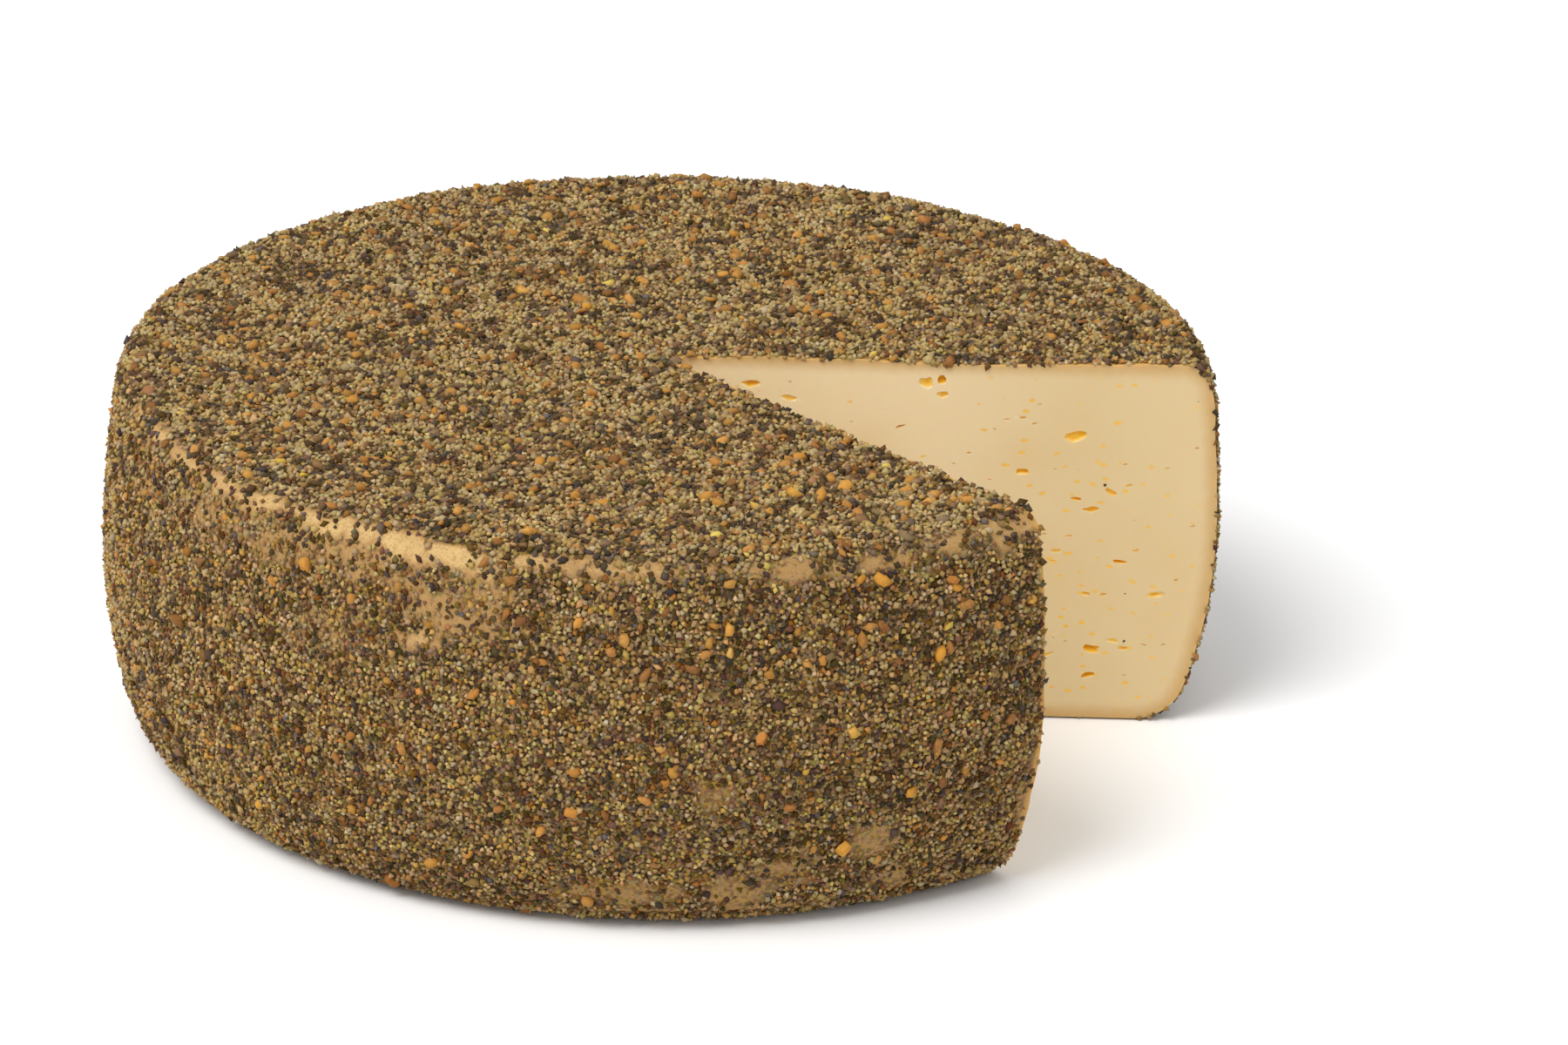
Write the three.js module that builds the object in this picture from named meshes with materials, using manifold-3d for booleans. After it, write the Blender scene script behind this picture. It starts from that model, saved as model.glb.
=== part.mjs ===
// A round cheese with a coat of coarse pepper and lemon peel, and a wedge-shaped notch cut out of it.
// Millimetres, +Z up. The origin is the centre of the flat base, on the plane that the cheese rests on.
// Azimuths are in degrees, anticlockwise from +X as seen from above.
import * as THREE from "three";
import { mergeVertices } from "three/addons/utils/BufferGeometryUtils.js";
import Module from "manifold-3d";

const wasm = await Module();
wasm.setup();

// The wheel, its coat included
const WHEEL_RADIUS = 125;
const WHEEL_HEIGHT = 87;
const WIDEST_HEIGHT = 46;
const TOP_DRAW_IN = 3.3;
const FOOT_DRAW_IN = 9.3;
const TOP_EDGE_RADIUS = 7;
const FOOT_EDGE_RADIUS = 12;

// How uneven the wheel is
const SIDE_WAVE = 0.6;
const TOP_DISH = 0.7;
const TOP_WAVE = 0.35;
const TOP_WAVE_LENGTH = 95;

// The strip along the front of the top edge where the coat has rubbed off
const STRIP_FROM = -165;
const STRIP_TO = -45;
const STRIP_DEPTH = 0.6;

// The notch: each cut starts at its own point, and a short blunt end joins the two
const FAR_CUT = { start: new THREE.Vector2(4.4, -2), azimuth: -2.2 };
const NEAR_CUT = { start: new THREE.Vector2(4.4, -8.6), azimuth: -48.7 };
const NOTCH_END_DEPTH = 2.5;
const NOTCH_REACH = 1.3 * WHEEL_RADIUS;

// The largest grains of the coat
const GRAIN_COUNT = 236;
const GRAIN_LENGTH = { least: 2.4, most: 4.4 };
const GRAIN_WIDTH_SHARE = { least: 0.55, most: 0.85 };
const GRAIN_THICKNESS_SHARE = 0.5;
const GRAIN_PROUD_SHARE = 0.55;
const GRAIN_LOWEST = 4;
const GRAIN_CUT_CLEARANCE = 3.2;

// Eyes in the two cut faces: how far along the cut from its start, how high, how long and how tall
const SHOWN_EYES = [
  { along: 54.2, height: 80.2, length: 3.6, tall: 2.2 },
  { along: 57.6, height: 77.6, length: 3.0, tall: 1.6 },
  { along: 23.4, height: 76.0, length: 3.8, tall: 1.1 },
];
const SCATTERED_EYES = 9;
const EYE_LENGTH = { least: 2.6, most: 5.4 };
const EYE_TALL_SHARE = { least: 0.35, most: 0.55 };
const EYE_DEPTH_SHARE = 0.4;
const EYE_MARGIN = 12;
const EYES_LOW_POWER = 1.5;

// How far the corners of a grain or an eye stray from an even lump
const LUMP_UNEVENNESS = 0.3;

// How finely the shapes are divided
const WHEEL_SEGMENTS = 84;
const FOOT_ARC_STEPS = 4;
const SIDE_STEPS = 7;
const TOP_ARC_STEPS = 4;
const BASE_RINGS = 2;
const TOP_RINGS = 4;
const NOTCH_END_STEPS = 6;
const ARC_FIT_ROUNDS = 6;

const GOLDEN_ANGLE = Math.PI * (3 - Math.sqrt(5));
const SEED = 7;

// A repeatable stream of numbers from 0 to 1
function randomStream(seed) {
  let state = seed;
  return () => {
    state = (state + 0x6d2b79f5) | 0;
    let mixed = Math.imul(state ^ (state >>> 15), 1 | state);
    mixed = (mixed + Math.imul(mixed ^ (mixed >>> 7), 61 | mixed)) ^ mixed;
    return ((mixed ^ (mixed >>> 14)) >>> 0) / 2 ** 32;
  };
}

const random = randomStream(SEED);
const between = (range) => range.least + (range.most - range.least) * random();

// The side's distance from the axis at a height, before its two edges are rounded
function sideRadius(height) {
  const above = Math.max(0, height - WIDEST_HEIGHT) / (WHEEL_HEIGHT - WIDEST_HEIGHT);
  const below = Math.max(0, WIDEST_HEIGHT - height) / WIDEST_HEIGHT;
  return WHEEL_RADIUS - TOP_DRAW_IN * above ** 2 - FOOT_DRAW_IN * below ** 2;
}

// A rounded edge, from the flat face at one height to the side, which it meets without a corner.
// The way along the side is 1 for the foot's edge and -1 for the top's.
function roundedEdge(faceHeight, edgeRadius, way) {
  let turn = Math.PI / 2;
  let meets = faceHeight;
  for (let i = 0; i < ARC_FIT_ROUNDS; i += 1) {
    meets = faceHeight + way * edgeRadius * (1 - Math.cos(turn));
    turn = Math.PI / 2 - Math.atan(sideRadius(meets + way) - sideRadius(meets));
  }
  const flatRadius = sideRadius(meets) - edgeRadius * Math.sin(turn);
  return { faceHeight, edgeRadius, way, turn, meets, flatRadius };
}

const FOOT_EDGE = roundedEdge(0, FOOT_EDGE_RADIUS, 1);
const TOP_EDGE = roundedEdge(WHEEL_HEIGHT, TOP_EDGE_RADIUS, -1);

// A point of a rounded edge, its share going from 0 at the flat face to 1 at the side
function edgePoint(edge, share) {
  const turn = edge.turn * share;
  return new THREE.Vector2(
    edge.flatRadius + edge.edgeRadius * Math.sin(turn),
    edge.faceHeight + edge.way * edge.edgeRadius * (1 - Math.cos(turn)),
  );
}

// Half of the wheel's section, as points (distance from the axis, height) from the base to the top
function sectionOutline() {
  const points = [];
  for (let i = 0; i < BASE_RINGS; i += 1) {
    points.push(new THREE.Vector2((FOOT_EDGE.flatRadius * i) / BASE_RINGS, 0));
  }
  for (let i = 0; i <= FOOT_ARC_STEPS; i += 1) {
    points.push(edgePoint(FOOT_EDGE, i / FOOT_ARC_STEPS));
  }
  for (let i = 1; i < SIDE_STEPS; i += 1) {
    const height = THREE.MathUtils.lerp(FOOT_EDGE.meets, TOP_EDGE.meets, i / SIDE_STEPS);
    points.push(new THREE.Vector2(sideRadius(height), height));
  }
  for (let i = TOP_ARC_STEPS; i >= 0; i -= 1) {
    points.push(edgePoint(TOP_EDGE, i / TOP_ARC_STEPS));
  }
  for (let i = TOP_RINGS - 1; i >= 0; i -= 1) {
    points.push(new THREE.Vector2((TOP_EDGE.flatRadius * i) / TOP_RINGS, WHEEL_HEIGHT));
  }
  return points;
}

// How much the bare strip shows at an azimuth in radians: 0 to 1, fading at both ends
function stripShare(azimuth) {
  const middle = THREE.MathUtils.degToRad((STRIP_FROM + STRIP_TO) / 2);
  const half = THREE.MathUtils.degToRad((STRIP_TO - STRIP_FROM) / 2);
  const away = Math.atan2(Math.sin(azimuth - middle), Math.cos(azimuth - middle)) / half;
  return Math.max(0, 1 - away ** 2);
}

// How much of a section point's place is on the top edge: radius plus height is largest there
function topEdgeShare(radius, height) {
  const corner = TOP_EDGE.flatRadius + TOP_EDGE_RADIUS + WHEEL_HEIGHT;
  return THREE.MathUtils.smoothstep(radius + height, corner - TOP_EDGE_RADIUS, corner - TOP_EDGE_RADIUS / 2);
}

// A point of the wheel's skin: the outline's point turned to an azimuth, with the unevenness added
function skinPoint(outlinePoint, azimuth) {
  const { x: radius, y: height } = outlinePoint;
  const share = radius / WHEEL_RADIUS;
  const footFade = Math.min(1, height / FOOT_EDGE_RADIUS);
  const wave = Math.sin(2 * azimuth) * Math.sin(3 * azimuth + height / WIDEST_HEIGHT);
  const bare = topEdgeShare(radius, height) * stripShare(azimuth);
  const x = (radius + footFade * SIDE_WAVE * wave * share - STRIP_DEPTH * bare) * Math.cos(azimuth);
  const y = (radius + footFade * SIDE_WAVE * wave * share - STRIP_DEPTH * bare) * Math.sin(azimuth);
  const turnsPerLength = (2 * Math.PI) / TOP_WAVE_LENGTH;
  const ripple = Math.sin(turnsPerLength * x) * Math.cos(turnsPerLength * y);
  const sunk = height === WHEEL_HEIGHT ? (1 - share ** 2) * (TOP_DISH - TOP_WAVE * ripple) : 0;
  return new THREE.Vector3(x, y, height - sunk);
}

// A closed mesh made into a solid
function solidFrom(geometry) {
  const bare = new THREE.BufferGeometry();
  bare.setAttribute("position", geometry.getAttribute("position"));
  bare.setIndex(geometry.getIndex());
  const merged = mergeVertices(bare);
  return new wasm.Manifold(new wasm.Mesh({
    numProp: 3,
    vertProperties: merged.getAttribute("position").array,
    triVerts: new Uint32Array(merged.getIndex().array),
  }));
}

// The whole wheel, before anything is cut out of it or stuck to it
function wheelSolid() {
  const outline = sectionOutline();
  const rings = outline.slice(1, -1);
  const positions = [];
  for (const point of rings) {
    for (let i = 0; i < WHEEL_SEGMENTS; i += 1) {
      positions.push(...skinPoint(point, (2 * Math.PI * i) / WHEEL_SEGMENTS));
    }
  }
  const baseCentre = rings.length * WHEEL_SEGMENTS;
  const topCentre = baseCentre + 1;
  positions.push(...skinPoint(outline[0], 0), ...skinPoint(outline[outline.length - 1], 0));
  const corner = (ring, segment) => ring * WHEEL_SEGMENTS + (segment % WHEEL_SEGMENTS);
  const index = [];
  for (let i = 0; i < WHEEL_SEGMENTS; i += 1) {
    index.push(baseCentre, corner(0, i + 1), corner(0, i));
    index.push(topCentre, corner(rings.length - 1, i), corner(rings.length - 1, i + 1));
    for (let ring = 0; ring + 1 < rings.length; ring += 1) {
      index.push(corner(ring, i), corner(ring, i + 1), corner(ring + 1, i + 1));
      index.push(corner(ring, i), corner(ring + 1, i + 1), corner(ring + 1, i));
    }
  }
  const geometry = new THREE.BufferGeometry();
  geometry.setAttribute("position", new THREE.Float32BufferAttribute(positions, 3));
  geometry.setIndex(index);
  return solidFrom(geometry);
}

// The direction of a cut, seen from above
function cutDirection(cut) {
  const azimuth = THREE.MathUtils.degToRad(cut.azimuth);
  return new THREE.Vector2(Math.cos(azimuth), Math.sin(azimuth));
}

// The notch as an upright block that runs past the base, the top and the rim
function notchSolid() {
  const farEnd = cutDirection(FAR_CUT).multiplyScalar(NOTCH_REACH).add(FAR_CUT.start);
  const nearEnd = cutDirection(NEAR_CUT).multiplyScalar(NOTCH_REACH).add(NEAR_CUT.start);
  const middle = FAR_CUT.start.clone().lerp(NEAR_CUT.start, 0.5);
  const plan = new THREE.Shape();
  plan.moveTo(nearEnd.x, nearEnd.y);
  plan.lineTo(farEnd.x, farEnd.y);
  plan.lineTo(FAR_CUT.start.x, FAR_CUT.start.y);
  plan.quadraticCurveTo(middle.x - NOTCH_END_DEPTH, middle.y, NEAR_CUT.start.x, NEAR_CUT.start.y);
  const block = new THREE.ExtrudeGeometry(plan, {
    depth: 2 * WHEEL_HEIGHT,
    bevelEnabled: false,
    curveSegments: NOTCH_END_STEPS,
  });
  block.translate(0, 0, -WHEEL_HEIGHT / 2);
  block.deleteAttribute("normal");
  block.deleteAttribute("uv");
  return solidFrom(block);
}

// A lump with few sides, set at a place: its third direction is the way out of the surface
function lump(place) {
  const ball = new THREE.IcosahedronGeometry(1, 0);
  ball.deleteAttribute("normal");
  ball.deleteAttribute("uv");
  const shape = mergeVertices(ball);
  const corners = shape.getAttribute("position");
  for (let i = 0; i < corners.count; i += 1) {
    const stretch = 1 + LUMP_UNEVENNESS * (random() - 0.5);
    corners.setXYZ(i, corners.getX(i) * stretch, corners.getY(i) * stretch, corners.getZ(i) * stretch);
  }
  const sideways = new THREE.Vector3().crossVectors(place.outward, place.lengthways);
  const frame = new THREE.Matrix4().makeBasis(place.lengthways, sideways, place.outward);
  frame.scale(place.halfSizes);
  frame.setPosition(place.centre);
  shape.applyMatrix4(frame);
  return solidFrom(shape);
}

// Whether a place on the wheel is inside the notch, or too near one of its cuts for a grain
function nearNotch(x, y) {
  const offFar = new THREE.Vector2(x, y).sub(FAR_CUT.start).cross(cutDirection(FAR_CUT));
  const offNear = cutDirection(NEAR_CUT).cross(new THREE.Vector2(x, y).sub(NEAR_CUT.start));
  return Math.min(offFar, offNear) > -GRAIN_CUT_CLEARANCE && x > -GRAIN_CUT_CLEARANCE;
}

// Places spread evenly by area over the side and the top, on one spiral round the wheel
function coatPlaces(count) {
  const outline = sectionOutline().filter((point) => point.y >= GRAIN_LOWEST);
  const areas = [0];
  for (let i = 1; i < outline.length; i += 1) {
    const band = outline[i].distanceTo(outline[i - 1]) * (outline[i].x + outline[i - 1].x);
    areas.push(areas[i - 1] + band);
  }
  const whole = areas[areas.length - 1];
  const places = [];
  for (let i = 0; i < count; i += 1) {
    const wanted = (whole * (i + 0.5)) / count;
    const band = areas.findIndex((area) => area >= wanted);
    const share = (wanted - areas[band - 1]) / (areas[band] - areas[band - 1]);
    const azimuth = i * GOLDEN_ANGLE;
    const lower = skinPoint(outline[band - 1], azimuth);
    const upper = skinPoint(outline[band], azimuth);
    const around = new THREE.Vector3(-Math.sin(azimuth), Math.cos(azimuth), 0);
    const upward = upper.clone().sub(lower).normalize();
    places.push({
      centre: lower.lerp(upper, share),
      outward: new THREE.Vector3().crossVectors(around, upward).normalize(),
      around,
    });
  }
  return places.filter((place) => !nearNotch(place.centre.x, place.centre.y));
}

// One large grain, sunk in the skin at its place
function grainSolid(place) {
  const length = between(GRAIN_LENGTH);
  const width = length * between(GRAIN_WIDTH_SHARE);
  const thickness = width * GRAIN_THICKNESS_SHARE;
  const lift = thickness * (GRAIN_PROUD_SHARE - 0.5);
  return lump({
    centre: place.centre.clone().addScaledVector(place.outward, lift),
    outward: place.outward,
    lengthways: place.around.clone().applyAxisAngle(place.outward, Math.PI * random()),
    halfSizes: new THREE.Vector3(length / 2, width / 2, thickness / 2),
  });
}

// One eye: a flat hollow in a cut's face
function eyeSolid(cut, eye) {
  const along = cutDirection(cut);
  const plan = cut.start.clone().addScaledVector(along, eye.along);
  return lump({
    centre: new THREE.Vector3(plan.x, plan.y, eye.height),
    outward: new THREE.Vector3(along.y, -along.x, 0),
    lengthways: new THREE.Vector3(along.x, along.y, 0),
    halfSizes: new THREE.Vector3(eye.length / 2, eye.tall / 2, eye.length * EYE_DEPTH_SHARE),
  });
}

// Eyes scattered over a cut's face, more of them low down, as the wheel lay while it ripened
function scatteredEyes() {
  const eyes = [];
  const reach = WHEEL_RADIUS - 2 * EYE_MARGIN;
  for (let i = 0; i < SCATTERED_EYES; i += 1) {
    const length = between(EYE_LENGTH);
    const spread = (i + random()) / SCATTERED_EYES;
    eyes.push({
      along: EYE_MARGIN + spread * (reach - EYE_MARGIN / 2),
      height: EYE_MARGIN + random() ** EYES_LOW_POWER * (WHEEL_HEIGHT - 2 * EYE_MARGIN),
      length,
      tall: length * between(EYE_TALL_SHARE),
    });
  }
  return eyes;
}

// A solid turned back into a named mesh
function meshFrom(name, solid, material) {
  const { numProp, vertProperties, triVerts } = solid.getMesh();
  const geometry = new THREE.BufferGeometry();
  geometry.setAttribute("position", new THREE.BufferAttribute(vertProperties, numProp));
  geometry.setIndex(new THREE.BufferAttribute(triVerts, 1));
  geometry.computeVertexNormals();
  const mesh = new THREE.Mesh(geometry, material);
  mesh.name = name;
  return mesh;
}

const pepperedRind = new THREE.MeshStandardMaterial({ color: 0x6a5535, roughness: 0.85, metalness: 0 });

const coated = wasm.Manifold.union([wheelSolid(), ...coatPlaces(GRAIN_COUNT).map(grainSolid)]);
const farEyes = [...SHOWN_EYES, ...scatteredEyes()].map((eye) => eyeSolid(FAR_CUT, eye));
const nearEyes = scatteredEyes().map((eye) => eyeSolid(NEAR_CUT, eye));
const cheese = coated.subtract(wasm.Manifold.union([notchSolid(), ...farEyes, ...nearEyes]));

const part = new THREE.Group();
part.add(meshFrom("cheese_wheel", cheese, pepperedRind));

export default part;
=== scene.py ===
"""Dresses a pepper-coated cheese wheel: its rind, its cut faces, its coat of loose spice, and a plain studio.

Sizes are named values in metres, most of them written as millimetres times MM. The wheel stands on the
floor at height zero with its axis upright. Azimuths are in degrees, anticlockwise from +X seen from above.
"""

import logging
import math
from collections.abc import Mapping, Sequence
from dataclasses import dataclass, field
from enum import Enum, IntEnum

import bmesh
import bpy
import numpy as np
from mathutils import Matrix, Vector
from mathutils.kdtree import KDTree

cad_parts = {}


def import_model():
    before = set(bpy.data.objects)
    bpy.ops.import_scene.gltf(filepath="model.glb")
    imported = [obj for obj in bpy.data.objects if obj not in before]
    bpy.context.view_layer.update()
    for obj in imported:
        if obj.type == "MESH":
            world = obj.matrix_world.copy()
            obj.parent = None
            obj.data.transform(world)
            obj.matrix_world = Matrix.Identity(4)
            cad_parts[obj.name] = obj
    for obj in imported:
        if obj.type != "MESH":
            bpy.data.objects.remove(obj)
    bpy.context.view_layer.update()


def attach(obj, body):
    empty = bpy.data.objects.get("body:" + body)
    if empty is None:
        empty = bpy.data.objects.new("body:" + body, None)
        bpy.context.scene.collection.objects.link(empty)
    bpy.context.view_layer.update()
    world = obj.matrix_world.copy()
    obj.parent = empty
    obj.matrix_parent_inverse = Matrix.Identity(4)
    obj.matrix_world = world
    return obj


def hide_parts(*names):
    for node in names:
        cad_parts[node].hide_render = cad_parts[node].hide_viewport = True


MM = 0.001
NODE = "cheese_wheel"
BODY = "root"
BAKE_MAP = "OFBake"
LOG = logging.getLogger("cheese")

Colour = tuple[float, float, float]
Span = tuple[float, float]
Stops = tuple[tuple[float, Colour], ...]
Array = np.ndarray

# A screen's curve: a straight start up to an end, and from there a power of the shifted value
SCREEN_WHITE = 255
CURVE_SLOPE = 12.92
CURVE_END = 0.04045
CURVE_SHIFT = 0.055
CURVE_POWER = 2.4

# The sockets of a Mix node for colours, by number
MIX_SHARE = 0
MIX_FIRST = 6
MIX_SECOND = 7
MIX_RESULT = 2

# The multipliers and shifts of the whole-number hash that the noise is made from
HASH_MASK = 0xFFFFFFFF
HASH_AXES = np.array([374761393, 668265263, 217645177])
HASH_SEED = 974634777
HASH_ROUNDS = ((13, 1274126177), (15, 668265263))
HASH_SHIFT = 16

# One more than the largest seed that is drawn by chance
SEED_LIMIT = 1 << 30

# How a grain's red, green and blue change with each of its two numbers of chance, as logarithms
HUES = ((-0.11, 0.03, 0.14), (0.0, 0.0, 0.32))
HUE_CHANCE = (-2.5, 1.1)

# Where a flake's base lies below its middle and how wide its top is, as shares of its half sizes
FLAKE_BASE = -0.7
FLAKE_TOP_SIZE = 0.72

# How much of its square of the baking map a grain takes, on each side of the middle
BAKE_SHARE = 0.36

# Painted warm shade: what colours of the coat are multiplied by down the side, and the heights between which
# that ends
SIDE_SHADE_TINT: Colour = (0.985, 0.945, 0.885)
SIDE_TO_TOP: Span = (78 * MM, 86 * MM)


def linear(part: int) -> float:
    """Turns the red, green or blue of a screen's colour, 0 to 255, into its linear value.

    Args:
        part: The colour's part, as a screen shows it.

    Returns:
        The value from 0 to 1 that a shader takes.
    """
    share = part / SCREEN_WHITE
    if share <= CURVE_END:
        return share / CURVE_SLOPE
    return ((share + CURVE_SHIFT) / (1 + CURVE_SHIFT)) ** CURVE_POWER


def srgb(red: int, green: int, blue: int) -> Colour:
    """Turns a colour as a screen shows it, 0 to 255, into the linear colour that a shader takes."""
    return linear(red), linear(green), linear(blue)


def shades(*stops: tuple[float, int, int, int]) -> Stops:
    """Makes a ramp's stops, each from a place from 0 to 1 and a colour as a screen shows it."""
    return tuple((place, srgb(*colour)) for place, *colour in stops)


def mm(*sizes: float) -> tuple[float, ...]:
    """Turns millimetres into metres."""
    return tuple(size * MM for size in sizes)


def smooth_step(values: Array, low: float, high: float) -> Array:
    """Rises smoothly from 0 at low to 1 at high."""
    share = np.clip((values - low) / (high - low), 0, 1)
    return share * share * (3 - 2 * share)


def turned(azimuth: Array, middle: float) -> Array:
    """The turn from a middle in degrees to azimuths in radians, from minus half a turn to half a turn."""
    return np.angle(np.exp(1j * (azimuth - math.radians(middle))))


class Seed(IntEnum):
    """Where each stream of chance starts."""

    KNIFE_WAVES = 5
    LUMPS = 11
    PITS = 12
    FRAYED_EDGES = 21
    WEAR = 22
    EYES = 31
    GRAINS = 32
    CLUMPS = 41
    PATCHES = 42


class Slot(Enum):
    """The material slots of the part's record."""

    RIND = "peppered_rind"
    PASTE = "cheese_paste"
    PEPPER = "pepper_grains"
    PEEL = "lemon_peel"


@dataclass(frozen=True)
class Noise:
    """Smooth repeatable noise through space, from 0 to 1."""

    seed: int
    wavelength: float

    def at(self, points: Array) -> Array:
        """Reads the noise.

        Args:
            points: An array of n points, in metres.

        Returns:
            An array of n values from 0 to 1.
        """
        scaled = points / self.wavelength
        cell = np.floor(scaled).astype(np.int64)
        share = scaled - cell
        share = share * share * (3 - 2 * share)
        total = np.zeros(len(points))
        for corner in np.ndindex(2, 2, 2):
            offset = np.array(corner)
            weight = np.where(offset == 1, share, 1 - share).prod(axis=1)
            total += weight * self._corner(cell + offset)
        return total

    def swing(self, points: Array) -> Array:
        """Reads the noise as values from -1 to 1."""
        return (self.at(points) - 0.5) * 2

    def _corner(self, cell: Array) -> Array:
        """Mixes a cell's whole numbers into one value from 0 to 1.

        Args:
            cell: The three whole numbers of each of n cells.

        Returns:
            An array of n values from 0 to 1.
        """
        mixed = (cell @ HASH_AXES + self.seed * HASH_SEED) & HASH_MASK
        for shift, multiplier in HASH_ROUNDS:
            mixed = ((mixed ^ (mixed >> shift)) * multiplier) & HASH_MASK
        return (mixed ^ (mixed >> HASH_SHIFT)) / HASH_MASK


class Value:
    """A shader socket that takes part in Python sums."""

    def __init__(self, graph: "Graph", socket: bpy.types.NodeSocket) -> None:
        """Keeps the graph that new nodes go to and the socket that this value comes from."""
        self.graph = graph
        self.socket = socket

    def _math(self, operation: str, *operands: "Value | float") -> "Value":
        """Adds one Math node."""
        return self.graph.value("ShaderNodeMath", {"operation": operation}, dict(enumerate(operands)))

    def __add__(self, other: "Value | float") -> "Value":
        """Adds."""
        return self._math("ADD", self, other)

    def __radd__(self, other: float) -> "Value":
        """Adds, with the number first."""
        return self._math("ADD", other, self)

    def __sub__(self, other: "Value | float") -> "Value":
        """Subtracts."""
        return self._math("SUBTRACT", self, other)

    def __rsub__(self, other: float) -> "Value":
        """Subtracts from a number."""
        return self._math("SUBTRACT", other, self)

    def __mul__(self, other: "Value | float") -> "Value":
        """Multiplies."""
        return self._math("MULTIPLY", self, other)

    def __rmul__(self, other: float) -> "Value":
        """Multiplies, with the number first."""
        return self._math("MULTIPLY", other, self)

    def rising(self, low: float, high: float) -> "Value":
        """Rises smoothly from 0 at low to 1 at high."""
        inputs = {"Value": self, "From Min": low, "From Max": high}
        return self.graph.value("ShaderNodeMapRange", {"interpolation_type": "SMOOTHSTEP"}, inputs)


class Graph:
    """The node tree of one new material."""

    def __init__(self, name: str) -> None:
        """Starts an empty tree that ends in a Principled shader.

        Args:
            name: The material's name.
        """
        self.material = bpy.data.materials.new(name)
        self.material.use_nodes = True
        self.tree = self.material.node_tree
        self.tree.nodes.clear()
        self.output = self.node("ShaderNodeOutputMaterial")
        self.shader = self.node("ShaderNodeBsdfPrincipled")
        self.tree.links.new(self.shader.outputs[0], self.output.inputs["Surface"])

    def node(
        self, kind: str, settings: Mapping | None = None, inputs: Mapping | None = None,
    ) -> bpy.types.Node:
        """Adds a node.

        Args:
            kind: The node's type.
            settings: Its properties, set before its sockets, with a ramp's stops under "stops".
            inputs: Values or links by socket name or number.

        Returns:
            The node.
        """
        made = self.tree.nodes.new(kind)
        for name, setting in (settings or {}).items():
            if name == "stops":
                self._set_stops(made.color_ramp, setting)
            else:
                setattr(made, name, setting)
        for name, given in (inputs or {}).items():
            self.feed(made.inputs[name], given)
        return made

    def feed(self, socket: bpy.types.NodeSocket, given: "Value | float | Sequence[float]") -> None:
        """Links a value to a socket, or writes a constant on it.

        Args:
            socket: The socket of one of the tree's nodes.
            given: The value, or the constant: a number, or the three of a colour or place.
        """
        if isinstance(given, Value):
            self.tree.links.new(given.socket, socket)
        elif isinstance(given, Sequence) and len(given) == 3 and socket.type == "RGBA":
            socket.default_value = (*given, 1.0)
        else:
            socket.default_value = given

    def value(
        self, kind: str, settings: Mapping | None = None, inputs: Mapping | None = None,
        output: str | int = 0,
    ) -> Value:
        """Adds a node and returns one of its outputs, the first unless told otherwise."""
        return Value(self, self.node(kind, settings, inputs).outputs[output])

    @staticmethod
    def _set_stops(ramp: bpy.types.ColorRamp, stops: Stops) -> None:
        """Sets a ramp's stops, each a place from 0 to 1 and a colour.

        Args:
            ramp: The ramp of a new node.
            stops: Its stops in order.
        """
        while len(ramp.elements) < len(stops):
            ramp.elements.new(1.0)
        for element, (place, colour) in zip(ramp.elements, stops):
            element.position = place
            element.color = (*colour, 1.0)

    def position(self) -> Value:
        """The place on the object, in its own metres."""
        return self.value("ShaderNodeTexCoord", output="Object")

    def attribute(self, name: str, output: str = "Fac") -> Value:
        """A number kept on the mesh, or its "Vector"."""
        return self.value("ShaderNodeAttribute", {"attribute_name": name}, output=output)

    def noise(self, wavelength: float, detail: float = 2.0, roughness: float = 0.5) -> Value:
        """Noise from 0 to 1 whose largest lumps are about a wavelength across."""
        inputs = {"Vector": self.position(), "Scale": 1 / wavelength}
        return self.value("ShaderNodeTexNoise", None, inputs | {"Detail": detail, "Roughness": roughness})

    def cells(self, size: float, output: str = "Color", flatness: float = 1.0) -> Value:
        """Cells about a size across, flattened by a factor: each one's chance colour or its "Distance"."""
        place = self.times(self.position(), (1.0, 1.0, flatness))
        return self.value("ShaderNodeTexVoronoi", None, {"Vector": place, "Scale": 1 / size}, output)

    def mix(self, first: "Value | Colour", second: "Value | Colour", share: "Value | float") -> Value:
        """Mixes two colours, the share being that of the second."""
        inputs = {MIX_SHARE: share, MIX_FIRST: first, MIX_SECOND: second}
        return self.value("ShaderNodeMix", {"data_type": "RGBA", "clamp_factor": True}, inputs, MIX_RESULT)

    def ramp(self, share: Value, stops: Stops) -> Value:
        """Looks a value up on a colour ramp."""
        return self.value("ShaderNodeValToRGB", {"stops": stops}, {"Fac": share})

    def times(self, colour: Value, tint: "Value | Colour") -> Value:
        """Multiplies two colours, or a place and three numbers."""
        return self.value("ShaderNodeVectorMath", {"operation": "MULTIPLY"}, {0: colour, 1: tint})

    def shaded_down_side(self, colour: Value, tint: Colour = SIDE_SHADE_TINT) -> Value:
        """Keeps a colour of the coat as it is on the flat top and tints it down the side with painted warm
        shade.
        """
        level = self.value("ShaderNodeSeparateXYZ", None, {0: self.position()}, "Z")
        return self.mix(self.times(colour, tint), colour, level.rising(*SIDE_TO_TOP))

    def bump(self, height: Value, depth: float) -> None:
        """Feeds the shader's normal from a height from 0 to 1 over a real depth."""
        bumped = self.value("ShaderNodeBump", None, {"Height": height, "Distance": depth, "Strength": 1.0})
        self.feed(self.shader.inputs["Normal"], bumped)

    def finish(self, **sockets: "Value | float | Colour") -> bpy.types.Material:
        """Feeds the shader's sockets.

        Args:
            sockets: What each socket is given, by its name with underlines for spaces.

        Returns:
            The finished material.
        """
        for name, given in sockets.items():
            self.feed(self.shader.inputs[name.replace("_", " ")], given)
        return self.material


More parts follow.
